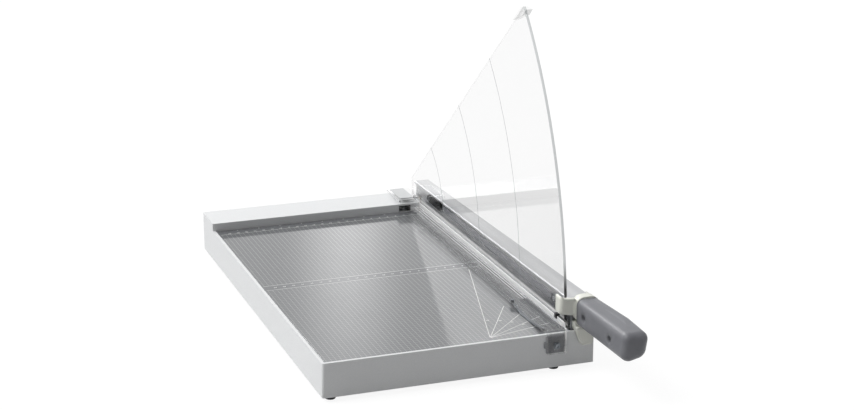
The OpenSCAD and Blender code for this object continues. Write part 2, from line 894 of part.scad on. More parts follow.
// Rear guide: a post on the bottom plate with a headed pin, which the coil spring goes round
guide_post_top = floor_top + guide_base_t + guide_post_h;
module rear_guide_bracket() {
    color(dark_steel) placed() difference() {
        union() {
            block(guide_pin_x - guide_base_w / 2, bar_y - guide_base_l / 2, floor_top,
                guide_pin_x + guide_base_w / 2, guide_pin_y + guide_base_l / 2, floor_top + guide_base_t);
            rod_z(guide_pin_x, guide_pin_y, floor_top, guide_post_top, guide_post_d);
        }
        rod_z(guide_pin_x, guide_pin_y, floor_top + guide_base_t, guide_post_top + over, guide_pin_d);
    }
}

module rear_guide_pin() {
    head_z = plate_z1 + guide_head_gap;
    color(steel) placed() {
        rod_z(guide_pin_x, guide_pin_y, floor_top + guide_base_t, head_z + guide_pin_head_h / 2, guide_pin_d);
        rod_z(guide_pin_x, guide_pin_y, head_z, head_z + guide_pin_head_h, guide_pin_head_d);
    }
}

// Rings of a tube swept along an open coil, then the faces between them
function coil_point(i, steps, turns, r, z0, z1) =
    [r * cos(360 * turns * i / steps), r * sin(360 * turns * i / steps), z0 + (z1 - z0) * i / steps];
function coil_ring(i, steps, turns, r, z0, z1, wire_r, sides) = [
    for (k = [0 : sides - 1])
        let (a = 360 * turns * i / steps, b = 360 * k / sides, out = wire_r * cos(b))
        coil_point(i, steps, turns, r, z0, z1) + [out * cos(a), out * sin(a), wire_r * sin(b)]
];

module coil(turns, r, z0, z1, wire_r) {
    steps = turns * spring_steps;
    points = [for (i = [0 : steps]) each coil_ring(i, steps, turns, r, z0, z1, wire_r, spring_sides)];
    sides = [for (i = [0 : steps - 1], k = [0 : spring_sides - 1])
        let (m = (k + 1) % spring_sides, a = i * spring_sides, b = a + spring_sides)
        each [[a + k, a + m, b + m], [a + k, b + m, b + k]]];
    polyhedron(points, concat(sides, [
        [for (k = [spring_sides - 1 : -1 : 0]) k],
        [for (k = [0 : spring_sides - 1]) steps * spring_sides + k]
    ]), convexity = turns);
}

module rear_lift_spring() {
    low = guide_post_top + spring_end_gap + spring_wire_d / 2;
    high = plate_z0 - spring_end_gap - spring_wire_d / 2;
    color(steel) placed() translate([guide_pin_x, guide_pin_y, 0])
        coil(spring_turns, spring_mean_d / 2, low, high, spring_wire_d / 2);
}

// Clear pressure plate: ribs on top, a stepped neck over the rim, the slotted tab and the rear tongue
module clamp_plate() {
    clamp_y1 = bar_y - clamp_back_gap;
    neck_z0 = plate_z0 + neck_rise;
    neck_z1 = neck_z0 + neck_t;
    tab_z0 = neck_z1 - tab_drop;
    rib_y0 = rib_front_share * bar_y;
    color(clear) placed() difference() {
        union() {
            block(plate_x0, clamp_front, plate_z0, rail_x0, clamp_y1, plate_z1);
            block(window_x0 + tongue_gap, clamp_y1 - over, plate_z0, window_x0 + window_w - tongue_gap,
                bar_y + tongue_l, plate_z1);
            block(tab_x0, tab_y0, neck_z0, tab_x1, clamp_front + over, neck_z1);
            along_y(tab_y0, tab_y1) {
                round_rect(tab_x0, tab_z0, tab_x1, neck_z1, tab_corner_r);
                rect(tab_x0, neck_z0, tab_x1, neck_z1);
            }
            for (i = [0 : 1])
                block(rail_x0 - rib_in - i * rib_pitch - rib_w, rib_y0, plate_z1 - rib_h,
                    rail_x0 - rib_in - i * rib_pitch, clamp_y1, plate_z1 + rib_h);
            block(rail_x0 - rib_end_w, rib_y0 - rib_end_w, plate_z1 - rib_h, rail_x0, rib_y0,
                plate_z1 + rib_h);
        }
        block(tab_mid_x - slot_w / 2, tab_y0 - over, tab_z0 - over, tab_mid_x + slot_w / 2, tab_y1 + over,
            guide_z + clamp_travel);
        rod_y(tab_mid_x, guide_z + clamp_travel, tab_y0 - over, tab_y1 + over, slot_w);
        rod_z(guide_pin_x, guide_pin_y, plate_z0 - over, plate_z1 + over, guide_pin_d + 2 * guide_play);
        rod_z(strip_x0 + strip_w / 2, strip_rear - strip_button_d, plate_z0 - over, plate_z1 + over,
            small_screw_d + hole_play);
    }
}

// Clear rail beside the fan, with a pointed nose that passes over the front rim
module clamp_rail() {
    nose_y = clamp_front - rail_nose;
    nose_z0 = plate_z0 + neck_rise;
    color(clear) placed()
        along_x(rail_x0, fan_x0) polygon([
            [clamp_front, plate_z0], [bar_y + rail_back, plate_z0], [bar_y + rail_back, rail_z1],
            [clamp_front - rail_nose_h, rail_z1], [nose_y, nose_z0 + rail_nose_h / 2], [nose_y, nose_z0],
            [clamp_front, nose_z0]
        ]);
}

// Outline of the fan in Y and Z: two straight edges and an arc about the pivot
module fan_outline() {
    corner = fan_r * fan_corner_share;
    intersection() {
        translate([pivot_y, pivot_z]) circle(fan_r, $fn = 360);
        rect(pivot_y - fan_r - over, plate_z0, pivot_y + fan_tail, pivot_z + fan_r);
        translate([pivot_y, pivot_z]) rotate(-fan_slope)
            translate([-corner, fan_offset - corner]) square([2 * corner, corner]);
    }
}

module fan_guard() {
    color(clear) placed() along_x(fan_x0, fan_x1) difference() {
        fan_outline();
        translate([pivot_y, pivot_z]) circle(spacer_d / 2 + clamp_travel + notch_play);
    }
}

// A point at a distance from the pivot, at an angle above the table
function fan_point(r, angle) = [pivot_y - r * cos(angle), pivot_z + r * sin(angle)];

// Clip over the fan's top corner; its lower face stops the rising hook
module fan_stop_clip() {
    corner_angle = fan_slope + asin(fan_offset / fan_r);
    low_angle = corner_angle - asin(clip_drop / fan_r);
    corners = [
        fan_point(fan_r - clip_in, low_angle), fan_point(fan_r + clip_out, low_angle),
        fan_point(fan_r, corner_angle),
        fan_point(fan_r, corner_angle) + clip_l * [cos(fan_slope), -sin(fan_slope)]
    ];
    color(clear) placed() difference() {
        along_x(fan_x0 - clip_side, fan_x1 + clip_side - slide_gap) polygon(corners);
        along_x(fan_x0, fan_x1) fan_outline();
    }
}

// Clear tab over the rear bar, on a short upright from the plate
tab_top_z0 = bar_h + clamp_travel + rear_tab_play;
rear_tab_x0 = plate_x0 - tab_in;
rear_tab_y0 = bar_y - clamp_back_gap - rear_web_t + rear_tab_play;
module rear_tab() {
    color(clear) placed() {
        translate([0, 0, tab_top_z0]) linear_extrude(rear_tab_t)
            round_rect(rear_tab_x0, rear_tab_y0, rear_tab_x0 + rear_tab_w, rear_tab_y0 + rear_tab_l,
                rear_tab_r);
        block(plate_x0, rear_tab_y0, plate_z1, rail_x0 - rib_end_w, rear_tab_y0 + rear_web_t - rear_tab_play,
            tab_top_z0 + rear_tab_t / 2);
    }
}

module tab_panel() {
    color(pale) placed()
        translate([0, 0, tab_top_z0 + rear_tab_t]) linear_extrude(panel_t)
            round_rect(rear_tab_x0 + panel_in, rear_tab_y0 + 2 * panel_in,
                rear_tab_x0 + rear_tab_w - 2 * panel_in, rear_tab_y0 + rear_tab_l - panel_in, rear_tab_r);
}

module tab_button() {
    color(clear) placed()
        rod_z(rear_tab_x0 + rear_tab_w - button_d, rear_tab_y0 + panel_in, tab_top_z0 + rear_tab_t,
            tab_top_z0 + rear_tab_t + button_h, button_d);
}

// Clip that laps over the rail, and the wire that runs from it over the front rim
module wire_block() {
    y1 = wire_block_y + wire_block_l;
    color(black) placed() difference() {
        union() {
            block(rail_x0 - wire_block_side, wire_block_y, rail_z1 - wire_block_lap,
                rail_x0 - cut_gap, y1, rail_z1 + wire_block_h);
            block(rail_x0 - wire_block_side, wire_block_y, rail_z1 + cut_gap,
                fan_x0 - wire_block_in, y1, rail_z1 + wire_block_h);
        }
        rod_y(wire_x, wire_z, wire_block_y - over, wire_block_y + wire_block_l / 2, wire_d);
    }
}

wire_x = (rail_x0 + fan_x0) / 2;
wire_z = rail_z1 + wire_d / 2 + 2 * cut_gap;
module stop_wire() {
    foot_z = wire_z - wire_down;
    color(black) placed() {
        rod_y(wire_x, wire_z, wire_front, wire_block_y + wire_block_l / 2, wire_d);
        rod_z(wire_x, wire_front, foot_z, wire_z, wire_d);
        translate([wire_x, wire_front, wire_z]) sphere(d = wire_d);
        rod_y(wire_x, foot_z, wire_front - wire_foot_d / 2, wire_front + wire_foot_l, wire_foot_d);
    }
}

// Thin strip spring under the left edge of the plate, held by a button, bowed down to the glass
strip_x0 = plate_x0 + strip_in;
module strip_spring() {
    bow_h = paper_gap - strip_bow_gap;
    half_l = (strip_rear - strip_front - 2 * strip_button_d) / 2;
    bow_r = (half_l * half_l + bow_h * bow_h) / (2 * bow_h);
    bow_y = strip_front + half_l;
    color(black) placed() {
        along_x(strip_x0, strip_x0 + strip_w) {
            rect(strip_rear - 2 * strip_button_d, plate_z0 - strip_t, strip_rear, plate_z0);
            intersection() {
                rect(strip_front, plate_z0 - paper_gap, strip_rear - 2 * strip_button_d, plate_z0);
                difference() {
                    translate([bow_y, plate_z0 - bow_h + bow_r]) circle(bow_r, $fn = 720);
                    translate([bow_y, plate_z0 - bow_h + bow_r]) circle(bow_r - strip_t, $fn = 720);
                }
            }
        }
        rod_z(strip_x0 + strip_w / 2, strip_rear - strip_button_d, plate_z1, plate_z1 + strip_button_h,
            strip_button_d);
        rod_z(strip_x0 + strip_w / 2, strip_rear - strip_button_d, plate_z0 - strip_t / 2,
            plate_z1 + strip_button_h / 2, small_screw_d);
    }
}

// Side view of the arm's bar, up to its top flange
module arm_bar_side() {
    polygon([
        [arm_y0, arm_z0], [arm_y1, arm_z0], [arm_y1, arm_rear_top - arm_flange_t / 2],
        [arm_y0, arm_front_top - arm_flange_t / 2]
    ]);
}

// Side view of the lug that hangs from the bar, round about the pivot
module lug_side() {
    polygon([
        [pivot_y - lug_slope_share * lug_r, arm_z0 + over], [pivot_y - lug_slope_share * lug_r, arm_z0],
        [pivot_y - lug_r, pivot_z], [pivot_y + lug_r, pivot_z], [arm_y1, arm_z0], [arm_y1, arm_z0 + over]
    ]);
    translate([pivot_y, pivot_z]) circle(lug_r);
}

// Plan of the arm's bar, wider towards the handle
module arm_plan(x0) {
    polygon([[x0, arm_y0], [arm_front_x1, arm_y0], [arm_rear_x1, pivot_y - lug_r],
        [arm_rear_x1, arm_y1], [x0, arm_y1]]);
}

tang_x0 = grip_x0 + tang_from_left;
tang_l = grip_l - tang_end_in;
tang_z0 = arm_z0 + tang_drop;
// Steel arm: a bar with a top flange that overhangs the blade, the lug, and the tang for the grip
module blade_arm() {
    edge_r = arm_flange_t / 2;
    color(steel) placed() difference() {
        union() {
            intersection() {
                along_x(blade_x1, arm_front_x1 + over) arm_bar_side();
                linear_extrude(arm_front_top) arm_plan(blade_x1 - over);
            }
            intersection() {
                translate([0, arm_y0, arm_front_top]) rotate([-arm_rise_angle, 0, 0])
                    along_y(-over, (arm_y1 - arm_y0) / cos(arm_rise_angle) + over) {
                        rect(arm_flange_x0 + edge_r, -arm_flange_t, arm_front_x1 + over, 0);
                        translate([arm_flange_x0 + edge_r, -edge_r]) circle(edge_r);
                    }
                translate([0, 0, arm_z0]) linear_extrude(arm_front_h + over)
                    arm_plan(arm_flange_x0 - over);
            }
            along_x(blade_x1, arm_rear_x1) lug_side();
            block(tang_x0, collar_y0 - tang_l, tang_z0, tang_x0 + tang_w, arm_y0 + over, tang_z0 + tang_h);
        }
        rod_x(pivot_y, pivot_z, blade_x1 - over, arm_rear_x1 + over, bush_d);
        for (y = blade_screw_places)
            blade_screw_hole(y, blade_screw_z, hole_play);
        for (y = strip_screw_places)
            blade_screw_hole(y, backing_z0 + backing_h / 2, hole_play);
        set_screw_holes();
        for (y = grip_screw_places)
            rod_x(y, grip_screw_z, tang_x0 - over, tang_x0 + tang_w + over, screw_d + hole_play);
        for (s = cheek_screw_shares)
            rod_x(collar_y1 + s * cheek_l, cheek_mid_z, arm_front_x1 - screw_head_d, arm_front_x1 + over,
                small_screw_d + hole_play);
    }
}

bush_d = bolt_d + 2 * bush_t;
module pivot_bush() {
    color("#B08D57") placed() difference() {
        union() {
            rod_x(pivot_y, pivot_z, blade_x1, arm_rear_x1, bush_d - cut_gap);
            rod_x(pivot_y, pivot_z, blade_x1 - bush_flange_t, blade_x1, bush_d + 2 * bush_flange_w);
        }
        rod_x(pivot_y, pivot_z, blade_x1 - bush_flange_t - over, arm_rear_x1 + over, bolt_d + 2 * bolt_clear);
    }
}

set_block_y1 = pivot_y - set_block_back;
set_block_y0 = set_block_y1 - set_block_l;
blade_y0 = blade_front;
blade_y1 = pivot_y - blade_back;
blade_screw_places = [for (i = [0 : blade_screw_count - 1])
    blade_y0 + (i + 0.5) * (set_block_y0 - blade_y0) / blade_screw_count];
strip_y0 = backing_front;
strip_y1 = pivot_y - backing_back;
strip_screw_places = [for (i = [0 : strip_screw_count - 1])
    strip_y0 + (i + 0.5) * (strip_y1 - strip_y0) / strip_screw_count];
set_screw_rear_y = set_block_y1 - set_screw_from_end;

// Room for a screw that comes from the arm's right side: a wide bore for the head, a narrow one for the shank
module blade_screw_hole(y, z, play) {
    rod_x(y, z, blade_x0 + blade_screw_blind, blade_x1 + blade_screw_l + over, small_screw_d + play);
    rod_x(y, z, blade_x1 + blade_screw_l, arm_front_x1 + over, small_head_d + play);
}

module side_screw(y, z, blind) {
    rod_x(y, z, blade_x0 + blind, blade_x1 + blade_screw_l + over, small_screw_d);
    rod_x(y, z, blade_x1 + blade_screw_l, blade_x1 + blade_screw_l + small_screw_d, small_head_d);
}

// Upper blade: bowed cutting edge with a bevel on its outer side, notched for the set block
module upper_blade() {
    blade_l = blade_y1 - blade_y0;
    edge_z = table_z - blade_dip;
    bowed_edge = [for (i = [0 : blade_bow_steps])
        let (u = 2 * i / blade_bow_steps - 1)
        [blade_y0 + blade_l * (1 + u) / 2, edge_z + blade_bow * u * u]];
    color(steel) placed() difference() {
        along_x(blade_x0, blade_x1)
            polygon(concat(bowed_edge, [[blade_y1, blade_top_z], [blade_y0, blade_top_z]]));
        along_y(blade_y0 - over, blade_y1 + over) polygon([
            [blade_x0 + bevel_edge, edge_z - over], [blade_x0 + bevel_edge, edge_z],
            [blade_x1, edge_z + bevel_h], [blade_x1 + over, edge_z + bevel_h],
            [blade_x1 + over, edge_z - over]
        ]);
        block(blade_x0 - over, blade_y0 - over, edge_z + relief_z, blade_x0 + relief_t, blade_y1 + over,
            blade_top_z + over);
        block(blade_x0 - over, set_block_y0 - set_notch_gap, set_block_z - set_block_h / 2 - set_notch_gap,
            blade_x1 + over, blade_y1 + over, blade_top_z + over);
        for (y = blade_screw_places)
            rod_x(y, blade_screw_z, blade_x0 + blade_screw_blind, blade_x1 + over, small_screw_d + hole_play);
    }
}

module blade_screws() {
    color(steel) placed()
        for (y = blade_screw_places)
            side_screw(y, blade_screw_z, blade_screw_blind + hole_play);
}

// Steel strip above the blade, in the recess of the arm
module backing_strip() {
    color(steel) placed() difference() {
        block(blade_x1 - backing_t, strip_y0, backing_z0, blade_x1, strip_y1, backing_z0 + backing_h);
        for (y = strip_screw_places)
            rod_x(y, backing_z0 + backing_h / 2, blade_x0 + blade_screw_blind, blade_x1 + over,
                small_screw_d + hole_play);
    }
}

module strip_screws() {
    color(steel) placed()
        for (y = strip_screw_places)
            side_screw(y, backing_z0 + backing_h / 2, blade_screw_blind + hole_play);
}

// Black block with round ends at the rear of the blade
module blade_set_block() {
    r = set_block_h / 2;
    color(black) placed() difference() {
        along_x(blade_x1 - set_block_t, blade_x1) {
            translate([set_block_y0 + r, set_block_z]) circle(r);
            translate([set_block_y1 - r, set_block_z]) circle(r);
            rect(set_block_y0 + r, set_block_z - r, set_block_y1 - r, set_block_z + r);
        }
        rod_x(set_screw_rear_y, set_block_z, blade_x1 - set_block_t - over, blade_x1 + over,
            set_screw_d + hole_play);
    }
}

module set_screw_holes() {
    for (p = [[set_screw_rear_y, set_block_z], [set_screw_front_y, set_screw_z]])
        rod_x(p[0], p[1], blade_x1 - over, blade_x1 + set_screw_depth, set_screw_d + hole_play);
}

module set_screw(y, z) {
    x0 = blade_x1 - set_block_t + set_screw_out;
    difference() {
        rod_x(y, z, x0, blade_x1 + set_screw_depth - hole_play, set_screw_d);
        translate([x0 - over, y, z]) rotate([0, 90, 0])
            cylinder(d = set_screw_d / 2, h = 2 * over, $fn = 6);
    }
}

module blade_set_screws() {
    color(steel) placed() {
        set_screw(set_screw_rear_y, set_block_z);
        set_screw(set_screw_front_y, set_screw_z);
    }
}

collar_x0 = grip_x0 - collar_x_back;
collar_z1 = arm_front_top + collar_top;
cheek_mid_z = arm_z0 + arm_front_h / 2;

// Plan of the hook that reaches round the fan's edge: a front band and a lip on the left
module hook_plan() {
    x0 = cut_x - hook_left;
    y1 = hook_band_y + hook_band_t;
    difference() {
        union() {
            rect(x0 + hook_r, hook_band_y, collar_x0 + over, y1);
            rect(x0, hook_band_y + hook_r, x0 + hook_t, hook_band_y + hook_l);
            rect(x0 + hook_t, hook_band_y + hook_r, x0 + hook_r, y1);
            translate([x0 + hook_r, hook_band_y + hook_r]) circle(hook_r);
        }
        translate([x0 + hook_t, hook_band_y + hook_band_t]) square([hook_l, hook_l]);
    }
}

module hook() {
    x0 = cut_x - hook_left;
    z0 = arm_z0 + hook_bottom;
    z1 = arm_z0 + hook_top;
    w = collar_x0 + over - x0;
    top_line = [for (p = hook_top_shares) [x0 + p[0] * w, z1 - p[1] * (z1 - z0)]];
    intersection() {
        translate([0, 0, z0]) linear_extrude(z1 - z0) hook_plan();
        along_y(hook_band_y - over, hook_band_y + hook_l + over)
            polygon(concat(top_line, [[x0 + w, z0], [x0, z0 + hook_slant]]));
    }
}

// Finger guard: a tongue from the collar over the rim, then down in front of the wall
module guard_tongue() {
    low = wall_h - tongue_drop;
    y0 = collar_y0 - tongue_out;
    y1 = -tongue_wall_gap;
    rim_z = wall_h + tongue_rim_gap;
    grip_low = grip_z0 - tongue_grip_gap;
    high = collar_z1 - collar_h + over;
    intersection() {
        along_x(collar_x0, collar_x0 + collar_w) polygon([
            [collar_y1, high], [collar_y1, rim_z + tongue_step], [collar_y1 - tongue_step, rim_z], [0, rim_z],
            [y1, rim_z - tongue_wall_gap], [y1, low], [y0 + tongue_toe, low], [y0, low + tongue_toe],
            [y0, grip_low], [collar_y0, grip_low], [collar_y0, high]
        ]);
        along_y(y0 - over, collar_y1 + over) polygon([for (p = tongue_outline_shares)
            [collar_x0 + p[0] * collar_w, low + p[1] * (high - low)]]);
    }
}

module tang_window(y0, y1) {
    block(tang_x0 - tang_gap, y0, tang_z0 - tang_gap, tang_x0 + tang_w + tang_gap, y1,
        tang_z0 + tang_h + tang_gap);
}

// White end piece: collar, hook, tongue and a cheek on the arm's right side
module end_bracket() {
    cheek_x0 = arm_front_x1 + cheek_gap;
    color(warm_white) placed() difference() {
        union() {
            along_y(collar_y0, collar_y1)
                round_rect(collar_x0, collar_z1 - collar_h, collar_x0 + collar_w, collar_z1, collar_r);
            block(cheek_x0, collar_y1 - over, cheek_mid_z - cheek_h / 2, cheek_x0 + cheek_t,
                collar_y1 + cheek_l, cheek_mid_z + cheek_h / 2);
            hook();
            guard_tongue();
        }
        tang_window(collar_y0 - over, collar_y1 + over);
        grip_space();
        block(blade_x0 - over, blade_front - fit_gap, table_z - blade_dip, blade_x1 + fit_gap,
            collar_y1 + over, blade_top_z + fit_gap);
        for (s = cheek_screw_shares)
            rod_x(collar_y1 + s * cheek_l, cheek_mid_z, cheek_x0 - over, cheek_x0 + cheek_t + over,
                small_screw_d + hole_play);
    }
}

module bracket_screws() {
    cheek_x1 = arm_front_x1 + cheek_gap + cheek_t;
    color(steel) placed()
        for (s = cheek_screw_shares) {
            rod_x(collar_y1 + s * cheek_l, cheek_mid_z, cheek_x1, cheek_x1 + small_head_h / 2, small_head_d);
            rod_x(collar_y1 + s * cheek_l, cheek_mid_z, arm_front_x1 - screw_d, cheek_x1 + small_head_h / 4,
                small_screw_d);
        }
}

// The grip: flat on its left side, full and round on its right, flat against the collar
module grip_solid() {
    intersection() {
        hull()
            for (b = grip_ball_shares) {
                r = b[3] * grip_h;
                translate([b[0] == 0 ? grip_x0 + r : grip_x1 - r, collar_y0 - b[1] * grip_l,
                    grip_z0 + b[2] * grip_h]) sphere(r, $fn = 48);
            }
        block(grip_x0 - over, grip_y0 - over, grip_z0 - over, grip_x1 + over, collar_y0,
            grip_z0 + grip_h + over);
    }
}

// Nothing of the end bracket reaches into the grip
module grip_space() {
    block(grip_x0 - 2 * over, grip_y0 - over, grip_z0 - fit_gap, grip_x1 + over, collar_y0,
        grip_z0 + grip_h + over);
}

seam_x = grip_x0 + seam_share * grip_w;
grip_screw_z = grip_z0 + grip_h - grip_screw_drop;
grip_screw_places = [for (s = grip_screw_shares) collar_y0 - s * grip_l];

module grip_hollows() {
    tang_window(collar_y0 - tang_l - tang_gap, collar_y0 + over);
    for (y = grip_screw_places) {
        rod_x(y, grip_screw_z, grip_x0 - over, grip_x0 + grip_recess_depth + grip_head_h, grip_recess_d);
        rod_x(y, grip_screw_z, grip_x0, grip_x1 - grip_screw_end_in, screw_d + hole_play);
    }
}

module grip_left() {
    color(grip_grey) placed() difference() {
        intersection() {
            grip_solid();
            block(grip_x0 - over, grip_y0 - over, grip_z0 - over, seam_x, collar_y0 + over,
                grip_z0 + grip_h + over);
        }
        grip_hollows();
    }
}

module grip_right() {
    color(grip_grey) placed() difference() {
        intersection() {
            grip_solid();
            block(seam_x, grip_y0 - over, grip_z0 - over, grip_x1 + over, collar_y0 + over,
                grip_z0 + grip_h + over);
        }
        grip_hollows();
    }
}

module grip_screws() {
    head_x = grip_x0 + grip_recess_depth;
    color(black) placed()
        for (y = grip_screw_places)
            difference() {
                union() {
                    rod_x(y, grip_screw_z, head_x, head_x + grip_head_h, grip_screw_head_d);
                    rod_x(y, grip_screw_z, head_x, grip_x1 - grip_screw_end_in - hole_play, screw_d);
                }
                translate([head_x - over, y, grip_screw_z]) rotate([0, 90, 0])
                    cylinder(d = screw_d, h = over + grip_head_h / 2, $fn = 6);
            }
}

housing();
bottom_plate();
bottom_plate_screws();
rubber_feet();
foot_screws();
table_channels();
glass_pads();
glass_table();
knife_beam();
knife_beam_screws();
lower_knife();
lower_knife_screws();
pivot_block();
pivot_block_screws();
pivot_bolt();
pivot_spacer();
disc_springs();
pivot_nut();
pivot_washer();
buffer_post();
arm_buffer();
guide_pad();
guide_screw();
guide_washer();
guide_nut();
rear_guide_bracket();
rear_guide_pin();
rear_lift_spring();
clamp_plate();
clamp_rail();
fan_guard();
fan_stop_clip();
rear_tab();
tab_panel();
tab_button();
wire_block();
stop_wire();
strip_spring();
blade_arm();
upper_blade();
blade_screws();
backing_strip();
strip_screws();
blade_set_block();
blade_set_screws();
pivot_bush();
end_bracket();
bracket_screws();
grip_left();
grip_right();
grip_screws();
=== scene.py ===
import logging
import math
from dataclasses import dataclass, field
from enum import Enum

import bpy
from bpy.types import Material, Node, NodeSocket, NodeTree, Object
from mathutils import Matrix, Vector


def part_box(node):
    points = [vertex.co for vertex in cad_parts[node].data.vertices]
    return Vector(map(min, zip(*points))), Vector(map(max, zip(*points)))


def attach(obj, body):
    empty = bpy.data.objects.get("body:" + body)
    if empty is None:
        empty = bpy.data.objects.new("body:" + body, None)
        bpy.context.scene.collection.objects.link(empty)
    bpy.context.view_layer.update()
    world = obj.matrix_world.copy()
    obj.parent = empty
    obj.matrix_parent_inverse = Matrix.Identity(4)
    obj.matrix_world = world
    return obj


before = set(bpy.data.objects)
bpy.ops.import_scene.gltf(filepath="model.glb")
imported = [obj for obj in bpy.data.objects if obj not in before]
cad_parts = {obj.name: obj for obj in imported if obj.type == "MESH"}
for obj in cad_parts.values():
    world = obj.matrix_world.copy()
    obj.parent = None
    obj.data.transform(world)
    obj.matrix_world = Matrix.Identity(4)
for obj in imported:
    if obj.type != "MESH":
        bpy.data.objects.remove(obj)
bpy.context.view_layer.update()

MM = 0.001
LOG = logging.getLogger("trimmer")

WHITE = (1.0, 1.0, 1.0, 1.0)
ACRYLIC_IOR = 1.49
# Nearly all values of a noise texture lie between these two.
NOISE_LOW, NOISE_HIGH = 0.3, 0.7
# The row frame's origin, measured from the left wall and from the front wall of the base.
ORIGIN_X_MM, ORIGIN_Y_MM = 143.0, 185.65
INCH_MM = 25.4


class Rides(Enum):
    """The body of the trimmer that the added piece rides on."""

    BASE = "base"


class Slot(Enum):
    """A material slot of the record, named for the added piece's finish; nothing in the script
    reads it.
    """

    PRINT = "white_plastic"


# ---- shader helpers


def ink(hex_code: str) -> tuple[float, float, float, float]:
    """Turns an sRGB hex value into the linear colour that the shaders take.

    Args:
        hex_code: Six hex digits, such as "E7E7E6".

    Returns:
        Linear red, green, blue and full alpha.
    """
    channels = [int(hex_code[i : i + 2], 16) / 255 for i in (0, 2, 4)]
    linear = [c / 12.92 if c <= 0.04045 else ((c + 0.055) / 1.055) ** 2.4 for c in channels]
    return (*linear, 1.0)


def add(tree: NodeTree, kind: str, sockets: dict | None = None, **settings: object) -> Node:
    """Adds one shader node with its settings and links.

    Args:
        tree: Node tree that gets the node.
        kind: Blender's name of the node type, without "ShaderNode".
        sockets: Input name or index, and the constant or output socket for it.
        **settings: Properties of the node itself.

    Returns:
        The new node.
    """
    node = tree.nodes.new("ShaderNode" + kind)
    for name, value in settings.items():
        setattr(node, name, value)
    for key, value in (sockets or {}).items():
        if isinstance(value, NodeSocket):
            tree.links.new(value, node.inputs[key])
        else:
            node.inputs[key].default_value = value
    return node


def blank(name: str) -> tuple[Material, NodeTree]:
    """Makes a material with an empty node tree.

    Args:
        name: Name of the material, after what the real one is.

    Returns:
        The material and its node tree.
    """
    material = bpy.data.materials.new(name)
    material.use_nodes = True
    material.node_tree.nodes.clear()
    return material, material.node_tree


class Merge(Enum):
    """How several shares make one: any of them shows, or each can fade the result."""

    ANY = "MAXIMUM"
    ALL = "MULTIPLY"


def merge(tree: NodeTree, how: Merge, *shares: NodeSocket | float) -> NodeSocket:
    """Makes one share out of several.

    Args:
        tree: Node tree of the material.
        how: Whether any of them shows, or each can fade the result.
        *shares: Output sockets and constants.

    Returns:
        The output socket.
    """
    whole = shares[0]
    for share in shares[1:]:
        whole = add(tree, "Math", {0: whole, 1: share}, operation=how.value).outputs["Value"]
    return whole


def by_side(tree: NodeTree, face: Node, outside: float, inside: float) -> NodeSocket:
    """Gives one value where a face is seen from outside, and another from inside.

    Args:
        tree: Node tree of the material.
        face: Its Geometry node.
        outside: Value on the outside.
        inside: Value on the inside.

    Returns:
        The output socket.
    """
    return add(tree, "MapRange", {
        "Value": face.outputs["Backfacing"], "To Min": outside,
        "To Max": inside}).outputs["Result"]


def between(tree: NodeTree, axis: NodeSocket, low_mm: float, high_mm: float) -> NodeSocket:
    """Marks the span between two places on an axis.

    Args:
        tree: Node tree of the material.
        axis: The coordinate.
        low_mm: Where the span starts.
        high_mm: Where it ends.

    Returns:
        The output socket, 1 in the span and 0 outside it.
    """
    middle, half = (low_mm + high_mm) / 2 * MM, (high_mm - low_mm) / 2 * MM
    return add(tree, "Math", {0: axis, 1: middle, 2: half}, operation="COMPARE").outputs["Value"]


# ---- finishes


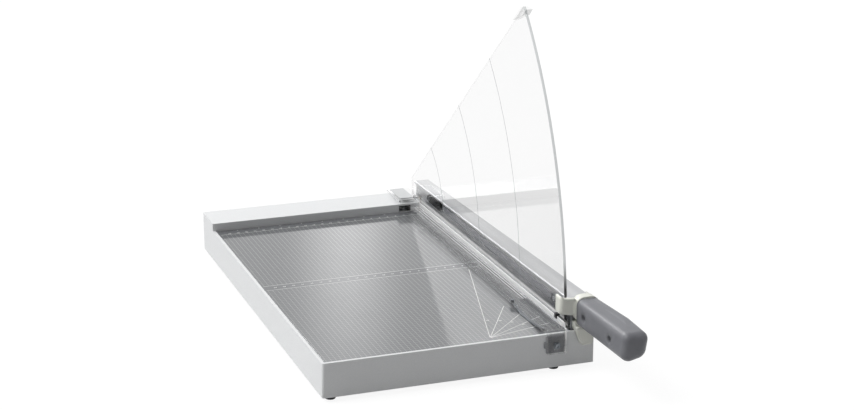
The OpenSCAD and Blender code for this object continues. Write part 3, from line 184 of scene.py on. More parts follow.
@dataclass(frozen=True)
class Moulding:
    """An injection-moulded or cast surface: one body colour under a fine spark-eroded grain.

    The grain breaks the highlight up without showing as colour, and slow waves of tone
    give the slight flow marks that a thick moulding has. Where the real corners are rounder
    than the solid's, soft_mm eases the shading over them, except beside the parting seam.
    """

    name: str
    colour: str
    shade: str
    roughness: float
    grain_mm: float
    grain_depth_mm: float
    ior: float = 1.5
    sheen: float = 0.0
    gloss: float = 0.5
    gloss_drift: float = 0.06
    flow_mm: float = 22.0
    soft_mm: float = 0.0
    seam_x_mm: float | None = None
    seam_half_mm: float = 5.0

    def material(self) -> Material:
        """Builds the shader.

        Returns:
            The material.
        """
        made, tree = blank(self.name)
        place = add(tree, "TexCoord").outputs["Object"]
        grain = add(tree, "TexNoise", {
            "Vector": place, "Scale": 1 / (self.grain_mm * MM), "Detail": 3.0,
            "Roughness": 0.55}).outputs["Fac"]
        flow = add(tree, "TexNoise", {
            "Vector": place, "Scale": 1 / (self.flow_mm * MM), "Detail": 2.0})
        blend = add(tree, "ValToRGB", {"Fac": flow.outputs["Fac"]})
        dark, pale = blend.color_ramp.elements
        dark.position, dark.color = NOISE_LOW, ink(self.shade)
        pale.position, pale.color = NOISE_HIGH, ink(self.colour)
        gloss = add(tree, "MapRange", {
            "Value": grain, "To Min": self.roughness - self.gloss_drift,
            "To Max": self.roughness + self.gloss_drift})
        bump = add(tree, "Bump", {
            "Height": grain, "Strength": 0.6, "Distance": self.grain_depth_mm * MM})
        if self.soft_mm:
            tree.links.new(self.eased(tree, place), bump.inputs["Normal"])
        shader = add(tree, "BsdfPrincipled", {
            "Base Color": blend.outputs["Color"], "Roughness": gloss.outputs["Result"],
            "Normal": bump.outputs["Normal"], "IOR": self.ior, "Sheen Weight": self.sheen,
            "Specular IOR Level": self.gloss})
        add(tree, "OutputMaterial", {"Surface": shader.outputs["BSDF"]})
        return made

    def eased(self, tree: NodeTree, place: NodeSocket) -> NodeSocket:
        """Eases the shading over the corners, but not beside the parting seam.

        Args:
            tree: Node tree of the material.
            place: Its object coordinates.

        Returns:
            The normal's output socket.
        """
        soft = add(tree, "Bevel", {"Radius": self.soft_mm * MM}, samples=8).outputs["Normal"]
        if self.seam_x_mm is None:
            return soft
        across = add(tree, "SeparateXYZ", {"Vector": place}).outputs["X"]
        seam = between(tree, across, self.seam_x_mm - self.seam_half_mm,
                       self.seam_x_mm + self.seam_half_mm)
        bare = add(tree, "NewGeometry").outputs["Normal"]
        return add(tree, "Mix", {
            "Factor": seam, "A": soft, "B": bare}, data_type="VECTOR").outputs["Result"]


@dataclass(frozen=True)
class PowderCoat:
    """Polyester powder coat on folded sheet steel: a matt film with a fine orange peel.

    The peel, about 1 mm from crest to crest, spreads the highlight, and a finer speckle of
    pigment keeps the large walls from looking like plain paper.
    """

    name: str = "powder_coated_steel"
    colour: str = "E8E9EA"
    speck: str = "DEE0E1"
    speck_mm: float = 0.35
    peel_mm: float = 1.1
    peel_depth_mm: float = 0.05
    cloud_mm: float = 60.0
    roughness: float = 0.42
    gloss_drift: float = 0.05
    ior: float = 1.5

    def material(self) -> Material:
        """Builds the shader.

        Returns:
            The material.
        """
        made, tree = blank(self.name)
        place = add(tree, "TexCoord").outputs["Object"]
        peel = add(tree, "TexNoise", {
            "Vector": place, "Scale": 1 / (self.peel_mm * MM), "Detail": 2.0, "Roughness": 0.4})
        speck = add(tree, "TexNoise", {
            "Vector": place, "Scale": 1 / (self.speck_mm * MM), "Detail": 1.0})
        cloud = add(tree, "TexNoise", {
            "Vector": place, "Scale": 1 / (self.cloud_mm * MM), "Detail": 1.0})
        tone = add(tree, "MapRange", {
            "Value": speck.outputs["Fac"], "From Min": 0.35, "From Max": 0.65})
        colour = add(tree, "Mix", {
            "Factor": tone.outputs["Result"], "A": ink(self.colour), "B": ink(self.speck)},
            data_type="RGBA")
        gloss = add(tree, "MapRange", {
            "Value": cloud.outputs["Fac"], "To Min": self.roughness - self.gloss_drift,
            "To Max": self.roughness + self.gloss_drift})
        bump = add(tree, "Bump", {
            "Height": peel.outputs["Fac"], "Strength": 0.25, "Distance": self.peel_depth_mm * MM})
        shader = add(tree, "BsdfPrincipled", {
            "Base Color": colour.outputs["Result"], "Roughness": gloss.outputs["Result"],
            "Normal": bump.outputs["Normal"], "IOR": self.ior})
        add(tree, "OutputMaterial", {"Surface": shader.outputs["BSDF"]})
        return made


class Lay(Enum):
    """Direction of the tool marks on a metal face, as the stretch of the pattern."""

    ALONG_X = (0.03, 1.0, 1.0)
    ALONG_Y = (1.0, 0.03, 1.0)
    EVEN = (1.0, 1.0, 1.0)


@dataclass(frozen=True)
class WorkedMetal:
    """Bare or plated metal with the marks of its last tool: grinding, drawing or tumbling.

    Long fine scratches along the lay stretch the highlight across it, and the tone drifts
    a little from line to line, as oil and handling leave it.
    """

    name: str
    colour: str
    shade: str
    lay: Lay
    mark_mm: float
    mark_depth_mm: float
    roughness: float
    anisotropy: float = 0.0
    drift_mm: float = 9.0
    gloss_span: tuple[float, float] = (0.8, 1.25)

    def material(self) -> Material:
        """Builds the shader.

        Returns:
            The material.
        """
        made, tree = blank(self.name)
        place = add(tree, "TexCoord").outputs["Object"]
        along = add(tree, "Mapping", {"Vector": place, "Scale": self.lay.value})
        marks = add(tree, "TexNoise", {
            "Vector": along.outputs["Vector"], "Scale": 1 / (self.mark_mm * MM), "Detail": 4.0,
            "Roughness": 0.6}).outputs["Fac"]
        drift = add(tree, "TexNoise", {
            "Vector": along.outputs["Vector"], "Scale": 1 / (self.drift_mm * MM), "Detail": 2.0})
        tone = add(tree, "MapRange", {
            "Value": drift.outputs["Fac"], "From Min": NOISE_LOW, "From Max": NOISE_HIGH})
        colour = add(tree, "Mix", {
            "Factor": tone.outputs["Result"], "A": ink(self.colour), "B": ink(self.shade)},
            data_type="RGBA")
        gloss = add(tree, "MapRange", {
            "Value": marks, "From Min": NOISE_LOW, "From Max": NOISE_HIGH,
            "To Min": self.roughness * self.gloss_span[0],
            "To Max": self.roughness * self.gloss_span[1]})
        bump = add(tree, "Bump", {
            "Height": marks, "Strength": 0.4, "Distance": self.mark_depth_mm * MM})
        shader = add(tree, "BsdfPrincipled", {
            "Base Color": colour.outputs["Result"], "Metallic": 1.0,
            "Roughness": gloss.outputs["Result"], "Normal": bump.outputs["Normal"],
            "Anisotropic": self.anisotropy})
        add(tree, "OutputMaterial", {"Surface": shader.outputs["BSDF"]})
        return made


@dataclass(frozen=True)
class Along:
    """A share that changes along one axis of a piece, as stops of place in millimetres."""

    axis: str
    stops: tuple[tuple[float, float], ...]

    def share(self, tree: NodeTree, place: NodeSocket) -> NodeSocket:
        """Builds the share at each point.

        Args:
            tree: Node tree of the material.
            place: Its object coordinates.

        Returns:
            The output socket.
        """
        low, high = self.stops[0][0], self.stops[-1][0]
        spot = add(tree, "SeparateXYZ", {"Vector": place}).outputs[self.axis]
        reach = add(tree, "MapRange", {"Value": spot, "From Min": low * MM, "From Max": high * MM})
        ramp = add(tree, "ValToRGB", {"Fac": reach.outputs["Result"]})
        points = ramp.color_ramp.elements
        points[0].color = (self.stops[0][1],) * 3 + (1.0,)
        points[1].color = (self.stops[-1][1],) * 3 + (1.0,)
        for stop, share in self.stops[1:-1]:
            points.new((stop - low) / (high - low)).color = (share,) * 3 + (1.0,)
        return ramp.outputs["Color"]


@dataclass(frozen=True)
class ClearAcrylic:
    """Polished acrylic (PMMA): clear, faintly grey, with a mirror gleam at low angles.

    A flat sheet lets the view straight through and mirrors the room by Fresnel's law, here
    all on the side that faces the eye. Its shape is shown by painted light: a pale diffuse
    layer paints highlights on the polished corners, on ridges and fillets, and on a tab's cut
    edges from both sides, and thin lines of painted shade darken the tint. A sawn edge is
    frosted toward the front with a painted glow, turns dark low down with painted shade where
    it would mirror the dark blade, and is nearly clear toward the rear. A scribed groove is a
    fine grey line that glows with painted light in reflections, and a foot worn by the paper
    mirrors less.
    """

    name: str
    tint: str = "FAFAFA"
    # Tone of the painted highlights on corners and bands; on some pieces a grey, for painted
    # shade.
    milk: str = "F5F5F5"
    mirror_share: float = 1.6
    shadow_pass: float = 0.95
    wipe_mm: float = 30.0
    corner_share: float = 0.6
    corner_slant: tuple[float, float] = (0.96, 0.985)
    # Bands of painted highlight, as profiles across or up a piece.
    milky: tuple[Along, ...] = ()
    shaded: Along | None = None
    shade_tint: str = "77797B"
    dulled: Along | None = None
    ridges: Along | None = None
    ridges_end_mm: float = 0.0
    tab_edges: Along | None = None
    tab_front_mm: float = 0.0
    tab_top_mm: float = 0.0
    tab_face_slant: float = 0.9
    sawn: str = "C9CCCC"
    # Dark tone painted low on a sawn edge, as shade.
    sawn_low: str = "0E0F10"
    sawn_share: float = 0.0
    sawn_slant: float = 0.8
    sawn_rear_share: float = 0.2
    # Strength of the sawn edge's painted glow, though it is no lamp.
    piped: float = 0.45
    # Height below which the edge's painted shade is full, and the height over which it fades.
    dark_below_mm: float = 0.0
    dark_ramp_mm: float = 26.0
    arcs_mm: tuple[float, ...] = ()
    centre: tuple[float, float, float] = (0.0, 0.0, 0.0)
    groove: str = "989C9E"
    groove_mm: float = 0.9
    groove_share: float = 0.95
    # Strength of the grooves' painted glow, shown only in reflections.
    groove_mirrored: float = 1.8

    def material(self) -> Material:
        """Builds the shader.

        Returns:
            The material.
        """
        made, tree = blank(self.name)
        place = add(tree, "TexCoord").outputs["Object"]
        face = add(tree, "NewGeometry")
        surface = self.sheet(tree, place, face)
        for layer, present in ((self.caught, True), (self.edges, self.sawn_share > 0),
                               (self.grooves, bool(self.arcs_mm))):
            if present:
                share, over = layer(tree, place, face)
                surface = add(tree, "MixShader", {"Fac": share, 1: surface, 2: over})
                surface = surface.outputs["Shader"]
        light = add(tree, "LightPath")
        passing = add(tree, "BsdfTransparent", {"Color": (self.shadow_pass,) * 3 + (1.0,)})
        shown = add(tree, "MixShader", {
            "Fac": light.outputs["Is Shadow Ray"], 1: surface, 2: passing.outputs["BSDF"]})
        add(tree, "OutputMaterial", {"Surface": shown.outputs["Shader"]})
        return made

    def sheet(self, tree: NodeTree, place: NodeSocket, face: Node) -> NodeSocket:
        """Makes the clear sheet, which passes the view and mirrors the room, with thin lines of
        painted shade in its tint.

        Args:
            tree: Node tree of the material.
            place: Its object coordinates.
            face: Its Geometry node.

        Returns:
            The shader.
        """
        wipes = add(tree, "TexNoise", {
            "Vector": place, "Scale": 1 / (self.wipe_mm * MM), "Detail": 4.0})
        gloss = add(tree, "MapRange", {
            "Value": wipes.outputs["Fac"], "From Min": 0.45, "From Max": 0.8, "To Min": 0.015,
            "To Max": 0.04})
        fresnel = add(tree, "Fresnel", {"IOR": ACRYLIC_IOR}).outputs["Fac"]
        gleam = merge(tree, Merge.ALL, fresnel, by_side(tree, face, self.mirror_share, 0.0))
        if self.dulled is not None:
            gleam = merge(tree, Merge.ALL, gleam, self.dulled.share(tree, place))
        tint: NodeSocket | tuple = ink(self.tint)
        # Painted shade: the tint darkens along thin lines across the sheet.
        if self.shaded is not None:
            tint = add(tree, "Mix", {
                "Factor": self.shaded.share(tree, place), "A": tint, "B": ink(self.shade_tint)},
                data_type="RGBA").outputs["Result"]
        window = add(tree, "BsdfTransparent", {"Color": tint})
        mirror = add(tree, "BsdfAnisotropic", {
            "Color": WHITE, "Roughness": gloss.outputs["Result"]})
        return add(tree, "MixShader", {
            "Fac": gleam, 1: window.outputs["BSDF"], 2: mirror.outputs["BSDF"]}).outputs["Shader"]

    def caught(self, tree: NodeTree, place: NodeSocket,
               face: Node) -> tuple[NodeSocket, NodeSocket]:
        """Paints highlights on corners, fillets, ridges and the tab's edges, as a pale diffuse
        layer.

        Args:
            tree: Node tree of the material.
            place: Its object coordinates.
            face: Its Geometry node.

        Returns:
            Their share and their shader.
        """
        # Painted highlight on every corner whose normal leans off the axes, on the outside only.
        bare = add(tree, "VectorMath", {0: face.outputs["True Normal"]}, operation="ABSOLUTE")
        parts = add(tree, "SeparateXYZ", {"Vector": bare.outputs["Vector"]})
        most = merge(tree, Merge.ANY, *(parts.outputs[axis] for axis in "XYZ"))
        corner = add(tree, "MapRange", {
            "Value": most, "From Min": self.corner_slant[0], "From Max": self.corner_slant[1],
            "To Min": self.corner_share, "To Max": 0.0})
        shares = [corner.outputs["Result"], *(milk.share(tree, place) for milk in self.milky)]
        if self.ridges is not None:
            along = add(tree, "SeparateXYZ", {"Vector": place}).outputs["Y"]
            behind = add(tree, "Math", {
                0: along, 1: self.ridges_end_mm * MM}, operation="GREATER_THAN").outputs["Value"]
            shares.append(merge(tree, Merge.ALL, self.ridges.share(tree, place), behind))
        share = merge(tree, Merge.ANY, *shares)
        share = merge(tree, Merge.ALL, share, by_side(tree, face, 1.0, 0.0))
        if self.tab_edges is not None:
            share = merge(tree, Merge.ANY, share, self.tab_rim(tree, place, parts))
        milk = add(tree, "BsdfPrincipled", {
            "Base Color": ink(self.milk), "Roughness": 0.3, "IOR": ACRYLIC_IOR})
        return share, milk.outputs["BSDF"]

    def tab_rim(self, tree: NodeTree, place: NodeSocket, parts: Node) -> NodeSocket:
        """Finds the rim of the front tab, whose cut edges get a painted highlight seen from both
        sides.

        Args:
            tree: Node tree of the material.
            place: Its object coordinates.
            parts: The normal's absolute components.

        Returns:
            The rim's share.
        """
        spot = add(tree, "SeparateXYZ", {"Vector": place})
        limits = ((spot.outputs["Y"], self.tab_front_mm * MM),
                  (spot.outputs["Z"], self.tab_top_mm * MM),
                  (parts.outputs["Y"], self.tab_face_slant))
        below = [add(tree, "Math", {0: value, 1: limit}, operation="LESS_THAN").outputs["Value"]
                 for value, limit in limits]
        return merge(tree, Merge.ALL, *below, self.tab_edges.share(tree, place))

    def edges(self, tree: NodeTree, place: NodeSocket,
              face: Node) -> tuple[NodeSocket, NodeSocket]:
        """Adds the sawn edges of an upright sheet, frosted ahead and nearly clear behind, with
        painted shade low down and a painted glow.

        Args:
            tree: Node tree of the material.
            place: Its object coordinates.
            face: Its Geometry node.

        Returns:
            Their share and their shader.
        """
        facing = add(tree, "SeparateXYZ", {"Vector": face.outputs["True Normal"]})
        edge = add(tree, "Math", {0: facing.outputs["X"], 1: 0.0, 2: self.sawn_slant},
                   operation="COMPARE").outputs["Value"]
        outward = merge(tree, Merge.ALL, facing.outputs["Y"], by_side(tree, face, 1.0, -1.0))
        rear = add(tree, "Math", {0: outward, 1: -0.1}, operation="GREATER_THAN").outputs["Value"]
        clear = add(tree, "MapRange", {
            "Value": rear, "To Min": 1.0, "To Max": self.sawn_rear_share}).outputs["Result"]
        frost = merge(tree, Merge.ALL, edge, self.sawn_share, clear)
        # Painted shade: low down the edge turns dark, standing in for the dark blade it would
        # mirror.
        height = add(tree, "SeparateXYZ", {"Vector": place}).outputs["Z"]
        shade = add(tree, "MapRange", {
            "Value": height, "From Min": self.dark_below_mm * MM,
            "From Max": (self.dark_below_mm + self.dark_ramp_mm) * MM})
        tone: NodeSocket | tuple = ink(self.sawn_low)
        for share, next_tone in ((shade.outputs["Result"], self.sawn), (rear, self.milk)):
            tone = add(tree, "Mix", {"Factor": share, "A": tone, "B": ink(next_tone)},
                       data_type="RGBA").outputs["Result"]
        # The emission is a painted glow on the edge.
        cut = add(tree, "BsdfPrincipled", {
            "Base Color": tone, "Roughness": 0.5, "IOR": ACRYLIC_IOR, "Specular IOR Level": 0.25,
            "Emission Color": tone, "Emission Strength": self.piped})
        return frost, cut.outputs["BSDF"]

    def grooves(self, tree: NodeTree, place: NodeSocket,
                face: Node) -> tuple[NodeSocket, NodeSocket]:
        """Adds the arcs scribed about the pivot, on the face toward the table, with a painted glow
        in reflections.

        Args:
            tree: Node tree of the material.
            place: Its object coordinates.
            face: Its Geometry node.

        Returns:
            Their share and their shader.
        """
        spot = add(tree, "Mapping", {
            "Vector": place, "Location": self.centre}, vector_type="TEXTURE")
        axes = add(tree, "SeparateXYZ", {"Vector": spot.outputs["Vector"]})
        flat = add(tree, "CombineXYZ", {axis: axes.outputs[axis] for axis in "YZ"})
        reach = add(tree, "VectorMath", {
            0: flat.outputs["Vector"]}, operation="LENGTH").outputs["Value"]
        lines = [add(tree, "Math", {0: reach, 1: radius * MM, 2: self.groove_mm / 2 * MM},
                     operation="COMPARE").outputs["Value"] for radius in self.arcs_mm]
        facing = add(tree, "SeparateXYZ", {"Vector": face.outputs["True Normal"]}).outputs["X"]
        side = by_side(tree, face, -self.groove_share, self.groove_share)
        tableward = add(tree, "Math", {
            0: facing, 1: side}, operation="MULTIPLY", use_clamp=True).outputs["Value"]
        faint = merge(tree, Merge.ALL, merge(tree, Merge.ANY, *lines), tableward)
        # Painted light: the groove glows with emission where a reflection sees it.
        reflected_painted_glow = merge(tree, Merge.ALL, add(tree, "LightPath").outputs["Is Glossy Ray"],
                         self.groove_mirrored)
        groove = add(tree, "BsdfPrincipled", {
            "Base Color": ink(self.groove), "Roughness": 0.5, "Emission Color": WHITE,
            "Emission Strength": reflected_painted_glow})
        return faint, groove.outputs["BSDF"]


@dataclass(frozen=True)
class PrintedGlass:
    """Toughened float glass with a dark grey enamel behind it and a pale 5 mm screen print.

    The float surface is nearly a mirror at a low angle, so the studio's strip light lies on
    it as a soft pale streak, and the print keeps the same gloss because it is under the glass.
    The bands are the bare strips for the numbers, each between two brighter lines.
    """

    first_mm: tuple[float, float]
    bands_mm: tuple[tuple[float, float], ...]
    field_mm: tuple[float, float, float, float]
    name: str = "printed_toughened_glass"
    enamel: str = "6B6D70"
    line: str = "A9ABA7"
    figure: str = "CFD1CD"
    pitch_mm: float = 5.0
    line_mm: float = 0.42
    cross_mm: float = 0.36
    edge_half_mm: float = 0.4
    line_share: float = 0.8
    cross_share: float = 0.75
    edge_share: float = 0.85
    smear_mm: float = 45.0
    roughness: float = 0.05
    gloss_drift: float = 0.07
    ior: float = 1.52

    def material(self) -> Material:
        """Builds the shader.

        Returns:
            The material.
        """
        made, tree = blank(self.name)
        place = add(tree, "TexCoord").outputs["Object"]
        axes = add(tree, "SeparateXYZ", {"Vector": place})
        x, y = axes.outputs["X"], axes.outputs["Y"]
        left, right, front, rear = self.field_mm
        inside = merge(tree, Merge.ALL, between(tree, x, left, right),
                       between(tree, y, front, rear))
        depth = self.rule(tree, x, self.first_mm[0], self.line_mm)
        cross = merge(tree, Merge.ALL, self.rule(tree, y, self.first_mm[1], self.cross_mm),
                      self.cross_share)
        bands = [between(tree, y, low, high) for low, high in self.bands_mm]
        outside = add(tree, "Math", {
            0: 1.0, 1: merge(tree, Merge.ANY, *bands)}, operation="SUBTRACT").outputs["Value"]
        edges = [between(tree, y, edge - self.edge_half_mm, edge + self.edge_half_mm)
                 for band in self.bands_mm for edge in band]
        lines = merge(tree, Merge.ALL, merge(tree, Merge.ANY, depth, cross), outside, inside,
                      self.line_share)
        bright = merge(tree, Merge.ALL, merge(tree, Merge.ANY, *edges), inside, self.edge_share)
        colour: NodeSocket | tuple = ink(self.enamel)
        for share, tone in ((lines, self.line), (bright, self.figure)):
            colour = add(tree, "Mix", {
                "Factor": share, "A": colour, "B": ink(tone)}, data_type="RGBA").outputs["Result"]
        smear = add(tree, "TexNoise", {
            "Vector": place, "Scale": 1 / (self.smear_mm * MM), "Detail": 4.0})
        gloss = add(tree, "MapRange", {
            "Value": smear.outputs["Fac"], "From Min": 0.35, "From Max": 0.75,
            "To Min": self.roughness, "To Max": self.roughness + self.gloss_drift})
        shader = add(tree, "BsdfPrincipled", {
            "Base Color": colour, "Roughness": gloss.outputs["Result"], "IOR": self.ior})
        add(tree, "OutputMaterial", {"Surface": shader.outputs["BSDF"]})
        return made

    def rule(self, tree: NodeTree, axis: NodeSocket, first_mm: float,
             width_mm: float) -> NodeSocket:
        """Draws the lines of one family, which repeat at the pitch.

        Args:
            tree: Node tree of the material.
            axis: The coordinate across the lines.
            first_mm: Place of one of them.
            width_mm: Their width.

        Returns:
            The output socket, 1 on a line and 0 beside it.
        """
        shifted = add(tree, "Math", {0: axis, 1: first_mm * MM}, operation="SUBTRACT")
        near = add(tree, "Math", {
            0: shifted.outputs["Value"], 1: self.pitch_mm / 2 * MM}, operation="PINGPONG")
        return add(tree, "Math", {0: near.outputs["Value"], 1: width_mm / 2 * MM},
                   operation="LESS_THAN").outputs["Value"]


# Matt pale grey film with a soft, broad highlight: the housing's walls.
POWDER = PowderCoat()
# Bright, with grinding marks across the edge that stretch the highlight.
GROUND_STEEL = WorkedMetal("ground_tool_steel", "C9CBCE", "B4B7BA", Lay.ALONG_X, 0.5, 0.01,
                           0.24, 0.3)
# Mid grey and even, with a soft gleam along the blade and hardly a scratch to be seen.
BLADE_STEEL = WorkedMetal("hardened_blade_steel", "8C8E92", "828489", Lay.ALONG_Y, 0.5, 0.004,
                          0.34, 0.3)
# Small bright heads with a cold tone.
ZINC = WorkedMetal("zinc_plated_steel", "D2D4D6", "BDC0C4", Lay.EVEN, 1.2, 0.01, 0.28)
# Blackened castings and plates, dull with a faint metal gleam.
DARK_STEEL = WorkedMetal("blackened_steel", "3E4144", "313438", Lay.EVEN, 0.9, 0.02, 0.45)
# Rolled strip, dark with a satin gleam along its length.
STRIP_STEEL = WorkedMetal("spring_strip_steel", "6E7175", "606368", Lay.ALONG_Y, 0.6, 0.01, 0.4)
# Drawn wire and turned screws, a darker grey than zinc.
SPRING = WorkedMetal("drawn_spring_steel", "7C8084", "64686C", Lay.ALONG_Y, 0.6, 0.01, 0.32)
# Pale satin, its highlight is long and soft along the arm.
ALUMINIUM = WorkedMetal("satin_anodised_aluminium", "C6C7C8", "BCBDBF", Lay.ALONG_Y, 0.45, 0.012,
                        0.4, 0.35)
# Porous and brown, with no clear highlight.
BRONZE = WorkedMetal("sintered_bronze", "968876", "82755F", Lay.EVEN, 0.4, 0.03, 0.5)
# Mid grey plastic whose wide corner carries one broad soft highlight.
GRIP_ABS = Moulding("grip_abs", "76777C", "6F7075", 0.45, 0.35, 0.012, 1.44, soft_mm=8.0,
                    seam_x_mm=130.0)
# Warm white plastic with gentle shading over its rounded corners.
WHITE_ABS = Moulding("bracket_abs", "ECEDE4", "E4E5DC", 0.38, 0.4, 0.015, soft_mm=4.5)
# Nearly black and matt, it shows by its outline.
BLACK_ABS = Moulding("black_acetal", "161718", "101112", 0.5, 0.3, 0.02, gloss=0.2)
# Plastic seen through the milky tab, so it reads as mid grey.
PAD_ACETAL = Moulding("grey_acetal", "96979A", "8E8F92", 0.5, 0.3, 0.02, gloss=0.3)
# Black wire with a thin line of light along it.
COATED_WIRE = Moulding("black_coated_wire", "101112", "0C0D0E", 0.5, 0.3, 0.01, gloss=0.25)
# Smooth grey paint, seen through the guard.
STRIP_PAINT = Moulding("grey_lacquered_strip", "77787E", "717278", 0.4, 0.3, 0.008, gloss=0.4)
# Milky film with a satin face.
FILM = Moulding("polyester_film", "CDCFD0", "C6C8C9", 0.35, 0.6, 0.01)
# Dull black with a faint bloom at low angles.
RUBBER = Moulding("nitrile_rubber", "2B2C2D", "232425", 0.75, 0.6, 0.04, 1.52, 0.2)
# Pale ink, flat and even under the glass's gloss.
SCREEN_INK = Moulding("screen_ink", "DADCD8", "D2D4D0", 0.3, 0.5, 0.005)


# ---- dressing of CAD nodes


@dataclass(frozen=True)
class Edge:
    """The rounding that a maker's tools leave on a node's edges.

    The rounding is a live modifier after a weld and a clean-up of flat faces, so the
    node's own mesh stays as it came.
    """

    radius_mm: float
    steps: int = 2
    angle_deg: float = 32.0
    weld_mm: float = 0.002
    flat_deg: float = 0.6

    def round_off(self, piece: Object) -> None:
        """Adds the live modifiers to a piece.

        Args:
            piece: A CAD node's object.
        """
        weld = piece.modifiers.new("weld", "WELD")
        weld.merge_threshold = self.weld_mm * MM
        flat = piece.modifiers.new("flat_faces", "DECIMATE")
        flat.decimate_type, flat.angle_limit = "DISSOLVE", math.radians(self.flat_deg)
        edge = piece.modifiers.new("edges", "BEVEL")
        edge.width, edge.segments = self.radius_mm * MM, self.steps
        edge.limit_method, edge.angle_limit = "ANGLE", math.radians(self.angle_deg)
        edge.harden_normals, edge.use_clamp_overlap = True, True
        edge.miter_outer = "MITER_ARC"


def dress(names: tuple[str, ...], finish: Material, edge: Edge | None = None) -> None:
    """Gives CAD nodes their finish, and the rounding of their edges where they show one.

    Args:
        names: The nodes' names.
        finish: The material.
        edge: The rounding, or none for hidden and fully rounded nodes.
    """
    for name in names:
        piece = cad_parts[name]
        for holder in piece.material_slots:
            holder.material = finish
        if edge is not None:
            edge.round_off(piece)
        LOG.info("dressed %s in %s", name, finish.name)


# ---- pieces


@dataclass
class SteelBase:
    """The folded housing with its bottom plate, feet and the hidden hardware inside it."""

    fold_mm: float = 0.9
    plate_edge_mm: float = 0.3
    bracket_edge_mm: float = 0.25
    rubber_edge_mm: float = 0.4
    bolt_edge_mm: float = 0.15
    knife_edge_mm: float = 0.12

    def build(self) -> None:
        """Dresses the base's nodes."""
        powder, spring = POWDER.material(), SPRING.material()
        dress(("housing",), powder, Edge(self.fold_mm))
        dress(("rear_guide_bracket",), powder, Edge(self.bracket_edge_mm))
        dress(("bottom_plate",), powder, Edge(self.plate_edge_mm, 1))
        dress(("rubber_feet", "glass_pads", "arm_buffer"), RUBBER.material(),
              Edge(self.rubber_edge_mm))
        dress(("table_channels", "bottom_plate_screws", "foot_screws", "knife_beam_screws",
               "pivot_block_screws", "lower_knife_screws", "guide_nut", "pivot_nut",
               "pivot_washer", "pivot_bolt", "pivot_spacer", "rear_guide_pin"),
              ZINC.material(), Edge(self.bolt_edge_mm))
        dress(("knife_beam", "pivot_block", "buffer_post"), DARK_STEEL.material(),
              Edge(self.bracket_edge_mm))
        dress(("guide_screw", "guide_washer"), spring, Edge(self.bolt_edge_mm, 1))
        dress(("disc_springs", "rear_lift_spring"), spring)
        dress(("guide_pad",), PAD_ACETAL.material(), Edge(self.bracket_edge_mm))
        dress(("lower_knife",), GROUND_STEEL.material(), Edge(self.knife_edge_mm, 1))


